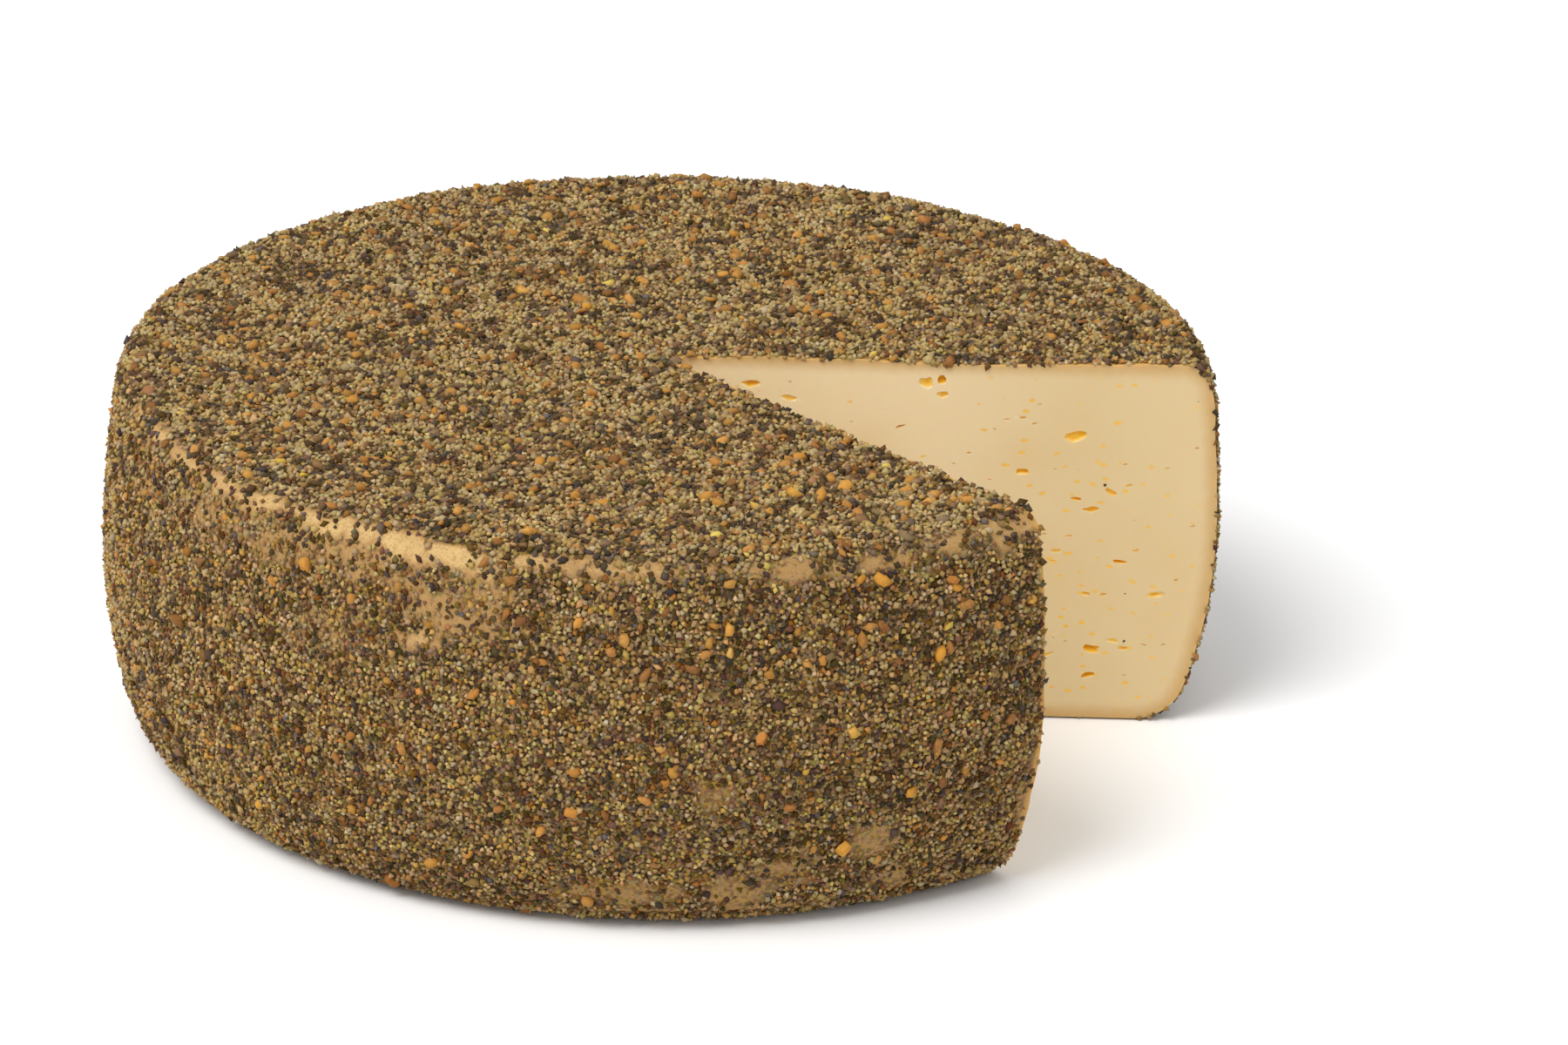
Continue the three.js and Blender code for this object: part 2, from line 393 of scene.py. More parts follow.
@dataclass(frozen=True)
class RindFinish:
    """Tan rind where it is bare, khaki dust where the coat is thin, and under the thick coat a dark gap
    colour: lower grains and dust, darkened as painted shade between the grains.

    A span is where a share starts to rise and where it is whole.
    """

    tan: Colour = srgb(198, 166, 112)
    worn: Colour = srgb(172, 136, 87)
    rusty: Colour = srgb(152, 112, 64)
    # Painted orange light at a cut's edge, as if shining out of the paste through the rind
    glow: Colour = srgb(204, 152, 74)
    thin: Stops = shades((0.3, 118, 92, 57), (0.5, 138, 110, 69), (0.7, 153, 124, 79))
    # Gap colours: lower grains and dust, darkened as painted shade between the grains
    gap_grains_and_shade: Stops = shades((0.25, 60, 46, 30), (0.42, 90, 70, 46), (0.58, 121, 97, 63), (0.75, 154, 128, 84))
    hue_least: Colour = (0.8, 0.9, 0.4)
    hue_spread: Colour = (0.4, 0.2, 1.2)
    mottle: float = 9 * MM
    mottled: Span = (0.3, 0.6)
    mottle_share: float = 0.3
    clean: Span = (0.55, 0.9)
    speck: float = 0.9 * MM
    detail: float = 3.0
    speck_roughness: float = 0.7
    specked: Span = (0.46, 0.64)
    speck_share: float = 0.7
    sand: float = 0.45 * MM
    sanded: Span = (0.5, 0.75)
    sand_share: float = 0.45
    grain: float = 0.7 * MM
    thick: Span = (0.55, 0.9)
    raggedness: float = 0.8
    bared: Span = (0.35, 0.6)
    glow_share: float = 0.65
    bump_depth: float = 0.25 * MM

    def material(self) -> bpy.types.Material:
        """Makes the rind's material, from the coat left on it, its bareness and its nearness to a cut.

        Returns:
            The material.
        """
        graph = Graph("rind")
        patches = graph.noise(self.mottle, self.detail)
        specks = graph.noise(self.speck, self.detail, self.speck_roughness)
        bare = graph.attribute("bare")
        even = 1 - self.mottle_share
        clean = bare.rising(*self.clean) * (even + patches.rising(*self.mottled) * self.mottle_share)
        rind = graph.mix(self.worn, self.tan, clean)
        rust = specks.rising(*self.specked) * (self.speck_share - bare * (self.speck_share / 2))
        rind = graph.mix(rind, self.rusty, rust)
        sand = graph.noise(self.sand, 1.0).rising(*self.sanded) * self.sand_share
        rind = graph.mix(rind, self.rusty, sand)
        cells = graph.cells(self.grain)
        thick = graph.attribute("coat").rising(*self.thick)
        # Under a thick coat the dust takes the gap ramp: lower grains and dust, darkened as painted shade
        # between the grains.
        dust = graph.mix(graph.ramp(cells, self.thin), graph.ramp(cells, self.gap_grains_and_shade), thick)
        hue_sum = {0: cells, 1: self.hue_spread, 2: self.hue_least}
        dust = graph.times(dust, graph.value("ShaderNodeVectorMath", {"operation": "MULTIPLY_ADD"}, hue_sum))
        ragged = bare + (specks - 0.5) * self.raggedness
        graph.bump(specks, self.bump_depth)
        # The dust down the side takes painted warm shade.
        colour = graph.mix(graph.shaded_down_side(dust), rind, ragged.rising(*self.bared))
        # Painted orange light near a cut, as if shining out of the paste.
        colour = graph.mix(colour, self.glow, graph.attribute("by_cut") * self.glow_share)
        return graph.finish(Base_Color=colour, Roughness=0.75, Specular_IOR_Level=0.1)


@dataclass(frozen=True)
class PasteFinish:
    """Smooth cream cheese that turns tan at its rind and, in painted shade, darker towards its rim, with
    amber in its eyes.

    A span is where a share starts to rise and where it is whole. Those of the crust, the inside and
    the eyes are in millimetres, and that of the painted shade towards the rim is in metres from the wheel's
    axis.
    """

    cream: Colour = srgb(230, 210, 171)
    warm: Colour = srgb(225, 201, 157)
    # Painted shade, darker and warmer out towards the rim
    rim_shade: Colour = srgb(202, 176, 122)
    outer: Colour = srgb(198, 160, 100)
    eye_rim: Colour = srgb(236, 196, 92)
    eye_deep: Colour = srgb(238, 184, 36)
    spot: Colour = srgb(230, 184, 82)
    mottle: float = 30 * MM
    mottled: Span = (0.3, 0.6)
    curd: float = 2.0 * MM
    curd_detail: float = 3.0
    curd_sway: float = 1.2
    rim_shading: Span = (50 * MM, 100 * MM)
    rim_shade_share: float = 0.55
    crust: Span = (0.6, 4.8)
    crust_share: float = 0.95
    spot_size: float = 4.6 * MM
    spot_flatness: float = 1.9
    spot_sway: float = 0.35
    spot_reach: Span = (0.08, 0.27)
    spotted: Span = (0.28, 0.6)
    inside: Span = (3.0, 6.0)
    eye_edge: Span = (0.0, 0.2)
    eye_bottom: Span = (0.15, 0.6)
    bump_depth: float = 0.03 * MM
    scatter: float = 3.0 * MM

    def material(self) -> bpy.types.Material:
        """Makes the paste's material, from its distances to the coat and into an eye in millimetres.

        Returns:
            The material.
        """
        graph = Graph("paste")
        body = graph.mix(self.warm, self.cream, graph.noise(self.mottle).rising(*self.mottled))
        curd = graph.noise(self.curd, self.curd_detail)
        inward = graph.attribute("skin_depth") + (curd - 0.5) * self.curd_sway
        flat = graph.times(graph.position(), (1.0, 1.0, 0.0))
        outward = graph.value("ShaderNodeVectorMath", {"operation": "LENGTH"}, {0: flat}, "Value")
        # Painted shade: darker and warmer out towards the rim.
        body = graph.mix(body, self.rim_shade, outward.rising(*self.rim_shading) * self.rim_shade_share)
        body = graph.mix(body, self.outer, (1 - inward.rising(*self.crust)) * self.crust_share)
        reach = graph.cells(self.spot_size, "Distance", self.spot_flatness)
        reach = reach + (graph.noise(self.curd / 2) - 0.5) * self.spot_sway
        chance = graph.cells(self.spot_size, "Color", self.spot_flatness)
        spots = (1 - reach.rising(*self.spot_reach)) * chance
        body = graph.mix(body, self.spot, spots.rising(*self.spotted) * inward.rising(*self.inside))
        eye = graph.attribute("eye_depth")
        body = graph.mix(body, self.eye_rim, eye.rising(*self.eye_edge))
        body = graph.mix(body, self.eye_deep, eye.rising(*self.eye_bottom))
        graph.bump(curd, self.bump_depth)
        return graph.finish(
            Base_Color=body, Roughness=0.42, IOR=1.45, Subsurface_Weight=0.6,
            Subsurface_Radius=(1.0, 0.55, 0.2), Subsurface_Scale=self.scatter,
        )


@dataclass(frozen=True)
class SpiceFinish:
    """Dry spice: each grain takes its own tone from a ramp, with a slight change along it, and its own tint.

    The spread is how far the grains' tints lie apart, and side is what colours are multiplied by on the side
    as painted warm shade.
    """

    name: str
    stops: Stops
    spread: float = 0.6
    side: Colour = SIDE_SHADE_TINT
    roughness: float = 0.8
    shine: float = 0.08
    mottle: float = 1.5 * MM
    mottle_share: float = 0.25

    def material(self) -> bpy.types.Material:
        """Makes the spice's material.

        Returns:
            The material, which reads each grain's tone and tint.
        """
        graph = Graph(self.name)
        tone = graph.attribute("tone") + (graph.noise(self.mottle) - 0.5) * self.mottle_share
        colour = graph.times(graph.ramp(tone, self.stops), graph.attribute("tint", "Vector"))
        # Painted warm shade down the side.
        colour = graph.shaded_down_side(colour, self.side)
        return graph.finish(Base_Color=colour, Roughness=self.roughness, Specular_IOR_Level=self.shine)


@dataclass(frozen=True)
class FloorFinish:
    """Plain pale board."""

    pale: Colour = srgb(250, 250, 250)
    paler: Colour = srgb(254, 254, 254)
    mottle: float = 300 * MM

    def material(self) -> bpy.types.Material:
        """Makes the floor's material.

        Returns:
            The material.
        """
        graph = Graph("floor")
        colour = graph.mix(self.pale, self.paler, graph.noise(self.mottle))
        return graph.finish(Base_Color=colour, Roughness=0.9)


def mesh_object(name: str, points: Array, triangles: Array) -> bpy.types.Object:
    """Makes an object from arrays.

    Args:
        name: The object's name.
        points: Its n points, in metres.
        triangles: Its m triangles, as numbers of points.

    Returns:
        The object, linked to the scene.
    """
    mesh = bpy.data.meshes.new(name)
    mesh.vertices.add(len(points))
    mesh.vertices.foreach_set("co", points.astype(np.float32).ravel())
    mesh.loops.add(triangles.size)
    mesh.loops.foreach_set("vertex_index", triangles.astype(np.int32).ravel())
    mesh.polygons.add(len(triangles))
    mesh.polygons.foreach_set("loop_start", np.arange(0, triangles.size, 3, dtype=np.int32))
    mesh.update(calc_edges=True)
    made = bpy.data.objects.new(name, mesh)
    bpy.context.scene.collection.objects.link(made)
    return made


def block_faces(count: int, levels: int) -> tuple[Array, Array, Array]:
    """The triangles of a closed block, whose points are rings one above another.

    Args:
        count: The number of points in each ring.
        levels: The number of rings.

    Returns:
        The triangles of its walls, its flat base and its flat top, as numbers of points.
    """
    here = np.arange(count)
    after = (here + 1) % count
    walls = []
    for low in count * np.arange(levels - 1):
        high = low + count
        walls.append(np.stack([low + here, low + after, high + after], 1))
        walls.append(np.stack([low + here, high + after, high + here], 1))
    fan = np.stack([np.zeros(count - 2, int), here[1:-1], here[2:]], 1)
    return np.concatenate(walls), fan[:, ::-1], fan + (levels - 1) * count


def keep_numbers(mesh: bpy.types.Mesh, name: str, numbers: Array) -> None:
    """Keeps one number, or three, for each point of a mesh, for its material to read.

    Args:
        mesh: The mesh.
        name: What the material calls them.
        numbers: An array with a row for each point.
    """
    kind, part = ("FLOAT", "value") if numbers.ndim == 1 else ("FLOAT_VECTOR", "vector")
    layer = mesh.attributes.new(name, kind, "POINT")
    layer.data.foreach_set(part, numbers.astype(np.float32).ravel())


@dataclass(frozen=True)
class Section:
    """Half of the wheel's section, as a line from the middle of its base to the middle of its top.

    What is worked out from the sizes is the line's points, how far along it each of them is, and how far
    along it the middle of the top edge and the start of the foot's edge are.
    """

    radius: float = 125 * MM
    height: float = 87 * MM
    widest: float = 46 * MM
    top_draw_in: float = 3.3 * MM
    foot_draw_in: float = 9.3 * MM
    top_edge: float = 7 * MM
    foot_edge: float = 12 * MM
    step: float = 0.1 * MM
    normal_steps: int = 4
    fit_rounds: int = 6
    line: Array = field(init=False, repr=False)
    along: Array = field(init=False, repr=False)
    edge_at: float = field(init=False)
    foot_at: float = field(init=False)

    def __post_init__(self) -> None:
        """Works the line out once: its points, and how far along it each of them is."""
        foot, foot_meets = self._edge(0.0, self.foot_edge, 1)
        top, top_meets = self._edge(self.height, self.top_edge, -1)
        levels = np.arange(foot_meets, top_meets, self.step)[1:]
        side = np.stack([self.side_radius(levels), levels], 1)
        base = self._flat(0.0, foot[0, 0])
        lid = self._flat(self.height, top[0, 0])
        line = np.concatenate([base, foot, side, top[::-1], lid[::-1]])
        steps = np.hypot(*np.diff(line, axis=0).T)
        along = np.concatenate([[0.0], np.cumsum(steps)])
        object.__setattr__(self, "line", line)
        object.__setattr__(self, "along", along)
        edge_index = len(base) + len(foot) + len(side) + len(top) // 2
        object.__setattr__(self, "edge_at", float(along[edge_index]))
        object.__setattr__(self, "foot_at", float(along[len(base)]))

    def _flat(self, height: float, radius: float) -> Array:
        """A flat face's points, from the axis to just before its rounded edge."""
        out = np.arange(0.0, radius - self.step / 2, self.step)
        return np.stack([out, np.full(len(out), height)], 1)

    def side_radius(self, height: Array | float) -> Array:
        """The side's distance from the axis, before the two edges are rounded.

        Args:
            height: Heights above the base.

        Returns:
            The distance at each of them.
        """
        above = np.clip((height - self.widest) / (self.height - self.widest), 0, None)
        below = np.clip((self.widest - height) / self.widest, 0, None)
        return self.radius - self.top_draw_in * above**2 - self.foot_draw_in * below**2

    def _edge(self, face: float, edge: float, way: int) -> tuple[Array, float]:
        """A rounded edge that meets the side without a corner.

        Args:
            face: The flat face's height.
            edge: The edge's radius.
            way: 1 upwards from the base, -1 downwards from the top.

        Returns:
            Its points from the flat face to the side, and the height where it meets the side.
        """
        turn = math.pi / 2
        meets = face
        for _ in range(self.fit_rounds):
            meets = face + way * edge * (1 - math.cos(turn))
            lean = (self.side_radius(meets + way * MM) - self.side_radius(meets)) / MM
            turn = math.pi / 2 - math.atan(lean)
        flat = float(self.side_radius(meets)) - edge * math.sin(turn)
        turns = np.linspace(0, turn, round(turn * edge / self.step))
        points = np.stack([flat + edge * np.sin(turns), face + way * edge * (1 - np.cos(turns))], 1)
        return points, meets

    @property
    def length(self) -> float:
        """The whole line's length."""
        return float(self.along[-1])

    def at(self, along: Array) -> tuple[Array, Array]:
        """Places on the line.

        Args:
            along: How far along the line, in metres.

        Returns:
            The points, as distance from the axis and height, and the line's outward normals there.
        """
        reach = self.normal_steps * self.step
        ahead = self._read(np.minimum(along + reach, self.length))
        behind = self._read(np.maximum(along - reach, 0))
        run = ahead - behind
        run /= np.hypot(*run.T)[:, None]
        return self._read(along), np.stack([run[:, 1], -run[:, 0]], 1)

    def _read(self, places: Array) -> Array:
        """The line's points at places along it."""
        return np.stack([np.interp(places, self.along, self.line[:, i]) for i in range(2)], 1)

    def rings(self, places: Array, base_pitch: float, pitch: float, fewest: int) -> tuple[Array, Array]:
        """How points are spread round the wheel.

        Args:
            places: How far along the line each ring is.
            base_pitch: How far apart points are to lie on the flat base.
            pitch: How far apart they are to lie elsewhere.
            fewest: How many points a ring has at least.

        Returns:
            The pitch of each ring and its number of points.
        """
        pitches = np.where(places < self.foot_at, base_pitch, pitch)
        round_way = 2 * math.pi * self.at(places)[0][:, 0]
        return pitches, np.maximum(fewest, np.round(round_way / pitches)).astype(int)

    def nearest(self, points: Array) -> tuple[Array, Array]:
        """The nearest place of the line to each point of the wheel.

        Args:
            points: The points, in metres.

        Returns:
            How far along the line the place is, and how far away from it the point is.
        """
        tree = KDTree(len(self.line))
        for index, (radius, height) in enumerate(self.line):
            tree.insert((radius, height, 0), index)
        tree.balance()
        radii = np.hypot(points[:, 0], points[:, 1])
        found = [tree.find((radius, height, 0)) for radius, height in zip(radii, points[:, 2])]
        return self.along[[index for _, index, _ in found]], np.array([away for _, _, away in found])


@dataclass(frozen=True)
class Cut:
    """One upright cut: its inner end, the azimuth that it runs to, and 1 or -1 for its side of the notch."""

    start: tuple[float, float]
    azimuth: float
    side: int

    @property
    def way(self) -> Array:
        """The way it runs, seen from above."""
        turn = math.radians(self.azimuth)
        return np.array([math.cos(turn), math.sin(turn)])

    @property
    def across(self) -> Array:
        """The way across it to the right, seen from above."""
        return np.array([self.way[1], -self.way[0]])


@dataclass(frozen=True)
class Notch:
    """The wedge-shaped notch: two upright cuts whose inner ends a short blunt end joins."""

    far: Cut = Cut(mm(4.4, -2.0), -2.2, 1)
    near: Cut = Cut(mm(4.4, -8.6), -48.7, -1)
    end_depth: float = 2.5 * MM
    end_steps: int = 8
    reach: float = 160 * MM
    overshoot: float = 10 * MM
    wall_step: float = 2.2 * MM
    wave: float = 0.1 * MM
    wave_length: float = 24 * MM

    def behind(self, points: Array) -> Array:
        """How far points lie in the cheese behind the notch's nearest wall, less than 0 inside the notch.

        Args:
            points: The points, in metres.

        Returns:
            The distance of each point.
        """
        walls = [(points[:, :2] - cut.start) @ (-cut.side * cut.across) for cut in (self.far, self.near)]
        from_end = self.far.start[0] - self.end_depth / 2 - points[:, 0]
        return np.maximum(np.maximum(*walls), from_end)

    def _plan(self) -> Array:
        """The notch's outline from above: along the far cut to its inner end, and out along the near cut.

        Returns:
            The outline's points, in metres.
        """
        far, near = np.array(self.far.start), np.array(self.near.start)
        steps = round(self.reach / self.wall_step)
        out = np.linspace(0, self.reach, steps)[:, None]
        far_wall = far + out[::-1] * self.far.way
        near_wall = near + out * self.near.way
        control = (far + near) / 2 - [self.end_depth, 0]
        share = np.linspace(0, 1, self.end_steps + 1)[1:-1, None]
        end = (1 - share) ** 2 * far + 2 * share * (1 - share) * control + share**2 * near
        return np.concatenate([far_wall, end, near_wall])

    def cutter(self, height: float) -> bpy.types.Object:
        """Makes the block that cuts the notch, its walls as slightly wavy as a long knife leaves them.

        Args:
            height: The wheel's height.

        Returns:
            The block, which reaches out of the wheel at both ends.
        """
        plan = self._plan()
        low, high = -self.overshoot, height + self.overshoot
        levels = np.linspace(low, high, round((high - low) / self.wall_step))
        count = len(plan)
        points = np.concatenate([np.column_stack([plan, np.full(count, level)]) for level in levels])
        inward = points[:, :2] - plan.mean(axis=0)
        inward /= np.linalg.norm(inward, axis=1)[:, None]
        sway = Noise(Seed.KNIFE_WAVES, self.wave_length).swing(points) * self.wave
        points[:, :2] += inward * sway[:, None]
        return mesh_object("notch_cutter", points, np.concatenate(block_faces(count, len(levels))))


@dataclass(frozen=True)
class Patch:
    """A place where the coat is thin or gone.

    Its azimuth is that of its middle, and down is how far its middle lies below the top edge,
    measured along the skin. Half its width and height follow, in millimetres like down, then how much
    of the coat is gone there and how bare the rind is between the grains that are left.
    """

    azimuth: float
    down: float
    half_width: float
    half_height: float
    gone: float
    bare: float


@dataclass(frozen=True)
class Skin:
    """The wheel's skin as a place for every distance along the section and every azimuth.

    Side_waves are the numbers of waves round the side, and top_fade is the power by which the dish of the
    top fades out over its edge. The strip is a shallow hollow in the top edge, and lean is how far the foot
    stands out and the top edge in on one side. Both have a middle and a reach to each side in degrees.
    """

    section: Section
    side_wave: float = 0.6 * MM
    side_waves: tuple[int, int] = (2, 3)
    top_dish: float = 0.7 * MM
    top_wave: float = 0.35 * MM
    top_wave_length: float = 95 * MM
    top_fade: int = 4
    strip_middle: float = -105.0
    strip_reach: float = 60.0
    strip_depth: float = 0.6 * MM
    lean_middle: float = 180.0
    lean_reach: float = 65.0
    lean: float = 1.5 * MM
    lump: float = 0.3 * MM
    lump_length: float = 11 * MM
    pit: float = 0.24 * MM
    pit_length: float = 3.6 * MM
    edge_slack: float = 0.3 * MM

    @staticmethod
    def _around(azimuth: Array, middle: float, reach: float) -> Array:
        """Falls from 1 at a middle to 0 a reach away from it, both in degrees, for azimuths in radians."""
        return np.clip(1 - (turned(azimuth, middle) / math.radians(reach)) ** 2, 0, None)

    def _outward(self, azimuth: Array, radius: Array, height: Array, off_base: Array) -> Array:
        """How far the skin stands out of the plain round section: its waves, the worn strip and the lean.

        Args:
            azimuth: Each point's azimuth in radians.
            radius: Its distance from the axis.
            height: Its height.
            off_base: 0 on the flat base, rising to 1 over the foot's edge.

        Returns:
            The distance outwards, less than 0 where the skin is sunk.
        """
        section = self.section
        share = radius / section.radius
        few, many = self.side_waves
        wave = np.sin(few * azimuth) * np.sin(many * azimuth + height / section.widest)
        corner = section.side_radius(section.height) - self.edge_slack + section.height
        edge = smooth_step(radius + height, corner - section.top_edge, corner - section.top_edge / 2)
        tipping = (section.widest - height) / (section.height - section.widest) * share * off_base
        out = off_base * self.side_wave * wave * share
        out = out - self.strip_depth * edge * self._around(azimuth, self.strip_middle, self.strip_reach)
        return out + self.lean * tipping * self._around(azimuth, self.lean_middle, self.lean_reach)

    def places(self, along: Array, azimuth: Array, depth: float | Array = 0.0) -> tuple[Array, Array]:
        """Points of the skin and the ways out of it.

        Args:
            along: How far along the section each point is, in metres.
            azimuth: Its azimuth in radians.
            depth: How far under the coat's surface it is.

        Returns:
            The points and their outward normals.
        """
        section = self.section
        flat, normal = section.at(along)
        radius, height = flat.T
        off_base = np.clip(height / section.foot_edge, 0, 1)
        out = self._outward(azimuth, radius, height, off_base)
        round_way = np.stack([np.cos(azimuth), np.sin(azimuth)], 1)
        points = np.column_stack([(radius + out)[:, None] * round_way, height])
        normals = np.column_stack([normal[:, :1] * round_way, normal[:, 1]])
        turns = 2 * math.pi * points / self.top_wave_length
        ripple = np.sin(turns[:, 0]) * np.cos(turns[:, 1])
        on_top = np.clip((height - section.height) / section.top_edge + 1, 0, 1) ** self.top_fade
        dish = on_top * (1 - (radius / section.radius) ** 2)
        points[:, 2] -= dish * (self.top_dish - self.top_wave * ripple)
        lumps = Noise(Seed.LUMPS, self.lump_length).swing(points) * self.lump
        pits = Noise(Seed.PITS, self.pit_length).swing(points) * self.pit
        points += normals * (off_base * (lumps + pits) - depth)[:, None]
        return points, normals


@dataclass(frozen=True)
class Coverage:
    """How much of the coat is left at each place of the skin, and how bare the rind is under it.

    Side and base are what is left of it on the side and on the flat base. A patch fades out over the span
    of fade, as shares of its half sizes. The coat is worn besides where the noise is over the span of
    worn_from, in the two bands of the side that low_side and by_edge bound, in millimetres down.
    """

    section: Section
    worn_strip: tuple[Patch, ...] = (
        Patch(-162, 0.0, 10, 3.2, 0.68, 0.72), Patch(-155, 0.2, 10, 3.2, 0.76, 0.76),
        Patch(-149, 0.2, 10, 3.0, 0.76, 0.74), Patch(-142, 0.4, 10, 3.2, 0.8, 0.76),
        Patch(-135.5, 0.6, 10, 3.4, 0.84, 0.8), Patch(-130, 0.0, 8, 2.2, 0.76, 0.8),
        Patch(-123.5, 0.4, 14, 3.5, 0.9995, 1.0), Patch(-116, 0.8, 13, 3.6, 0.9995, 1.0),
        Patch(-111, 1.2, 8, 3.4, 0.99, 1.0),
        Patch(-107.5, 3.0, 6, 5.0, 0.6, 0.85), Patch(-103.5, 0.5, 7, 2.4, 0.55, 0.75),
        Patch(-97, 1.0, 11, 3.0, 0.76, 0.7), Patch(-91, 1.5, 8, 3.0, 0.76, 0.69),
        Patch(-85, 1.0, 8, 1.6, 0.35, 0.6), Patch(-80.5, 0.8, 6, 1.6, 0.4, 0.58),
        Patch(-76, 2.1, 15, 3.0, 0.6, 0.54), Patch(-68, 2.4, 10, 2.4, 0.55, 0.55),
        Patch(-60.5, 1.0, 11, 3.0, 0.72, 0.62), Patch(-53.5, 1.2, 10, 4.0, 0.8, 0.72),
    )
    thin_under_strip: tuple[Patch, ...] = (
        Patch(-121, 6, 17, 7, 0.32, 0.56), Patch(-131, 9, 16, 8, 0.26, 0.5),
        Patch(-112, 13, 13, 8, 0.34, 0.58), Patch(-113.5, 21, 6, 3, 0.5, 0.75),
        Patch(-107, 11, 7, 9, 0.38, 0.6), Patch(-124, 24, 20, 10, 0.18, 0.45),
        Patch(-142, 9, 20, 9, 0.24, 0.5), Patch(-156, 12, 16, 9, 0.3, 0.5),
    )
    thin_at_foot: tuple[Patch, ...] = (
        Patch(-93, 77, 14, 4, 0.88, 0.46), Patch(-82.5, 77, 8, 5, 0.94, 0.48),
        Patch(-77.5, 71.5, 7, 4.5, 0.94, 0.48), Patch(-84, 51, 5, 5, 0.7, 0.4),
        Patch(-69, 66.5, 6, 5.5, 0.92, 0.48), Patch(-65.5, 78, 6, 3, 0.85, 0.45),
        Patch(-50.2, 62, 3, 12, 0.6, 0.45), Patch(-93, 83, 18, 1, 0.6, 0.6),
        Patch(-78, 83.2, 14, 1, 0.6, 0.6),
    )
    side: float = 0.97
    base: float = 0.7
    ragged: float = 0.55
    ragged_length: float = 2.2 * MM
    fade: Span = (0.35, 1.4)
    wear: float = 0.35
    wear_length: float = 26 * MM
    worn_from: Span = (0.62, 0.85)
    low_side: Span = (45.0, 75.0)
    by_edge: Span = (-5.0, -2.0)

    def at(self, along: Array, azimuth: Array, points: Array) -> tuple[Array, Array]:
        """Reads the coverage.

        Args:
            along: How far along the section each point is.
            azimuth: Its azimuth in radians.
            points: The points themselves.

        Returns:
            The share of the coat that is left and the bareness of the rind, for each point.
        """
        section = self.section
        down = (section.edge_at - along) / MM
        left = np.where(down < 0, 1.0, self.side)
        left = np.where(along < section.foot_at, self.base, left)
        bare = np.zeros(len(points))
        frayed = Noise(Seed.FRAYED_EDGES, self.ragged_length).swing(points) * self.ragged
        for patch in self.worn_strip + self.thin_under_strip + self.thin_at_foot:
            across = turned(azimuth, patch.azimuth) * section.radius / MM / patch.half_width
            reach = np.hypot(across, (down - patch.down) / patch.half_height) + frayed
            inside = 1 - smooth_step(reach, *self.fade)
            left = np.minimum(left, 1 - patch.gone * inside)
            bare = np.maximum(bare, patch.bare * inside)
        worn = smooth_step(Noise(Seed.WEAR, self.wear_length).at(points), *self.worn_from)
        banded = smooth_step(down, *self.low_side) + smooth_step(-np.abs(down), *self.by_edge)
        return left * (1 - self.wear * worn * np.clip(banded, 0, 1)), bare


@dataclass(frozen=True)
class Eye:
    """One hollow in a cut face: how far along the cut it is, how high, how long, how tall and how deep."""

    along: float
    height: float
    length: float
    tall: float
    deep: float


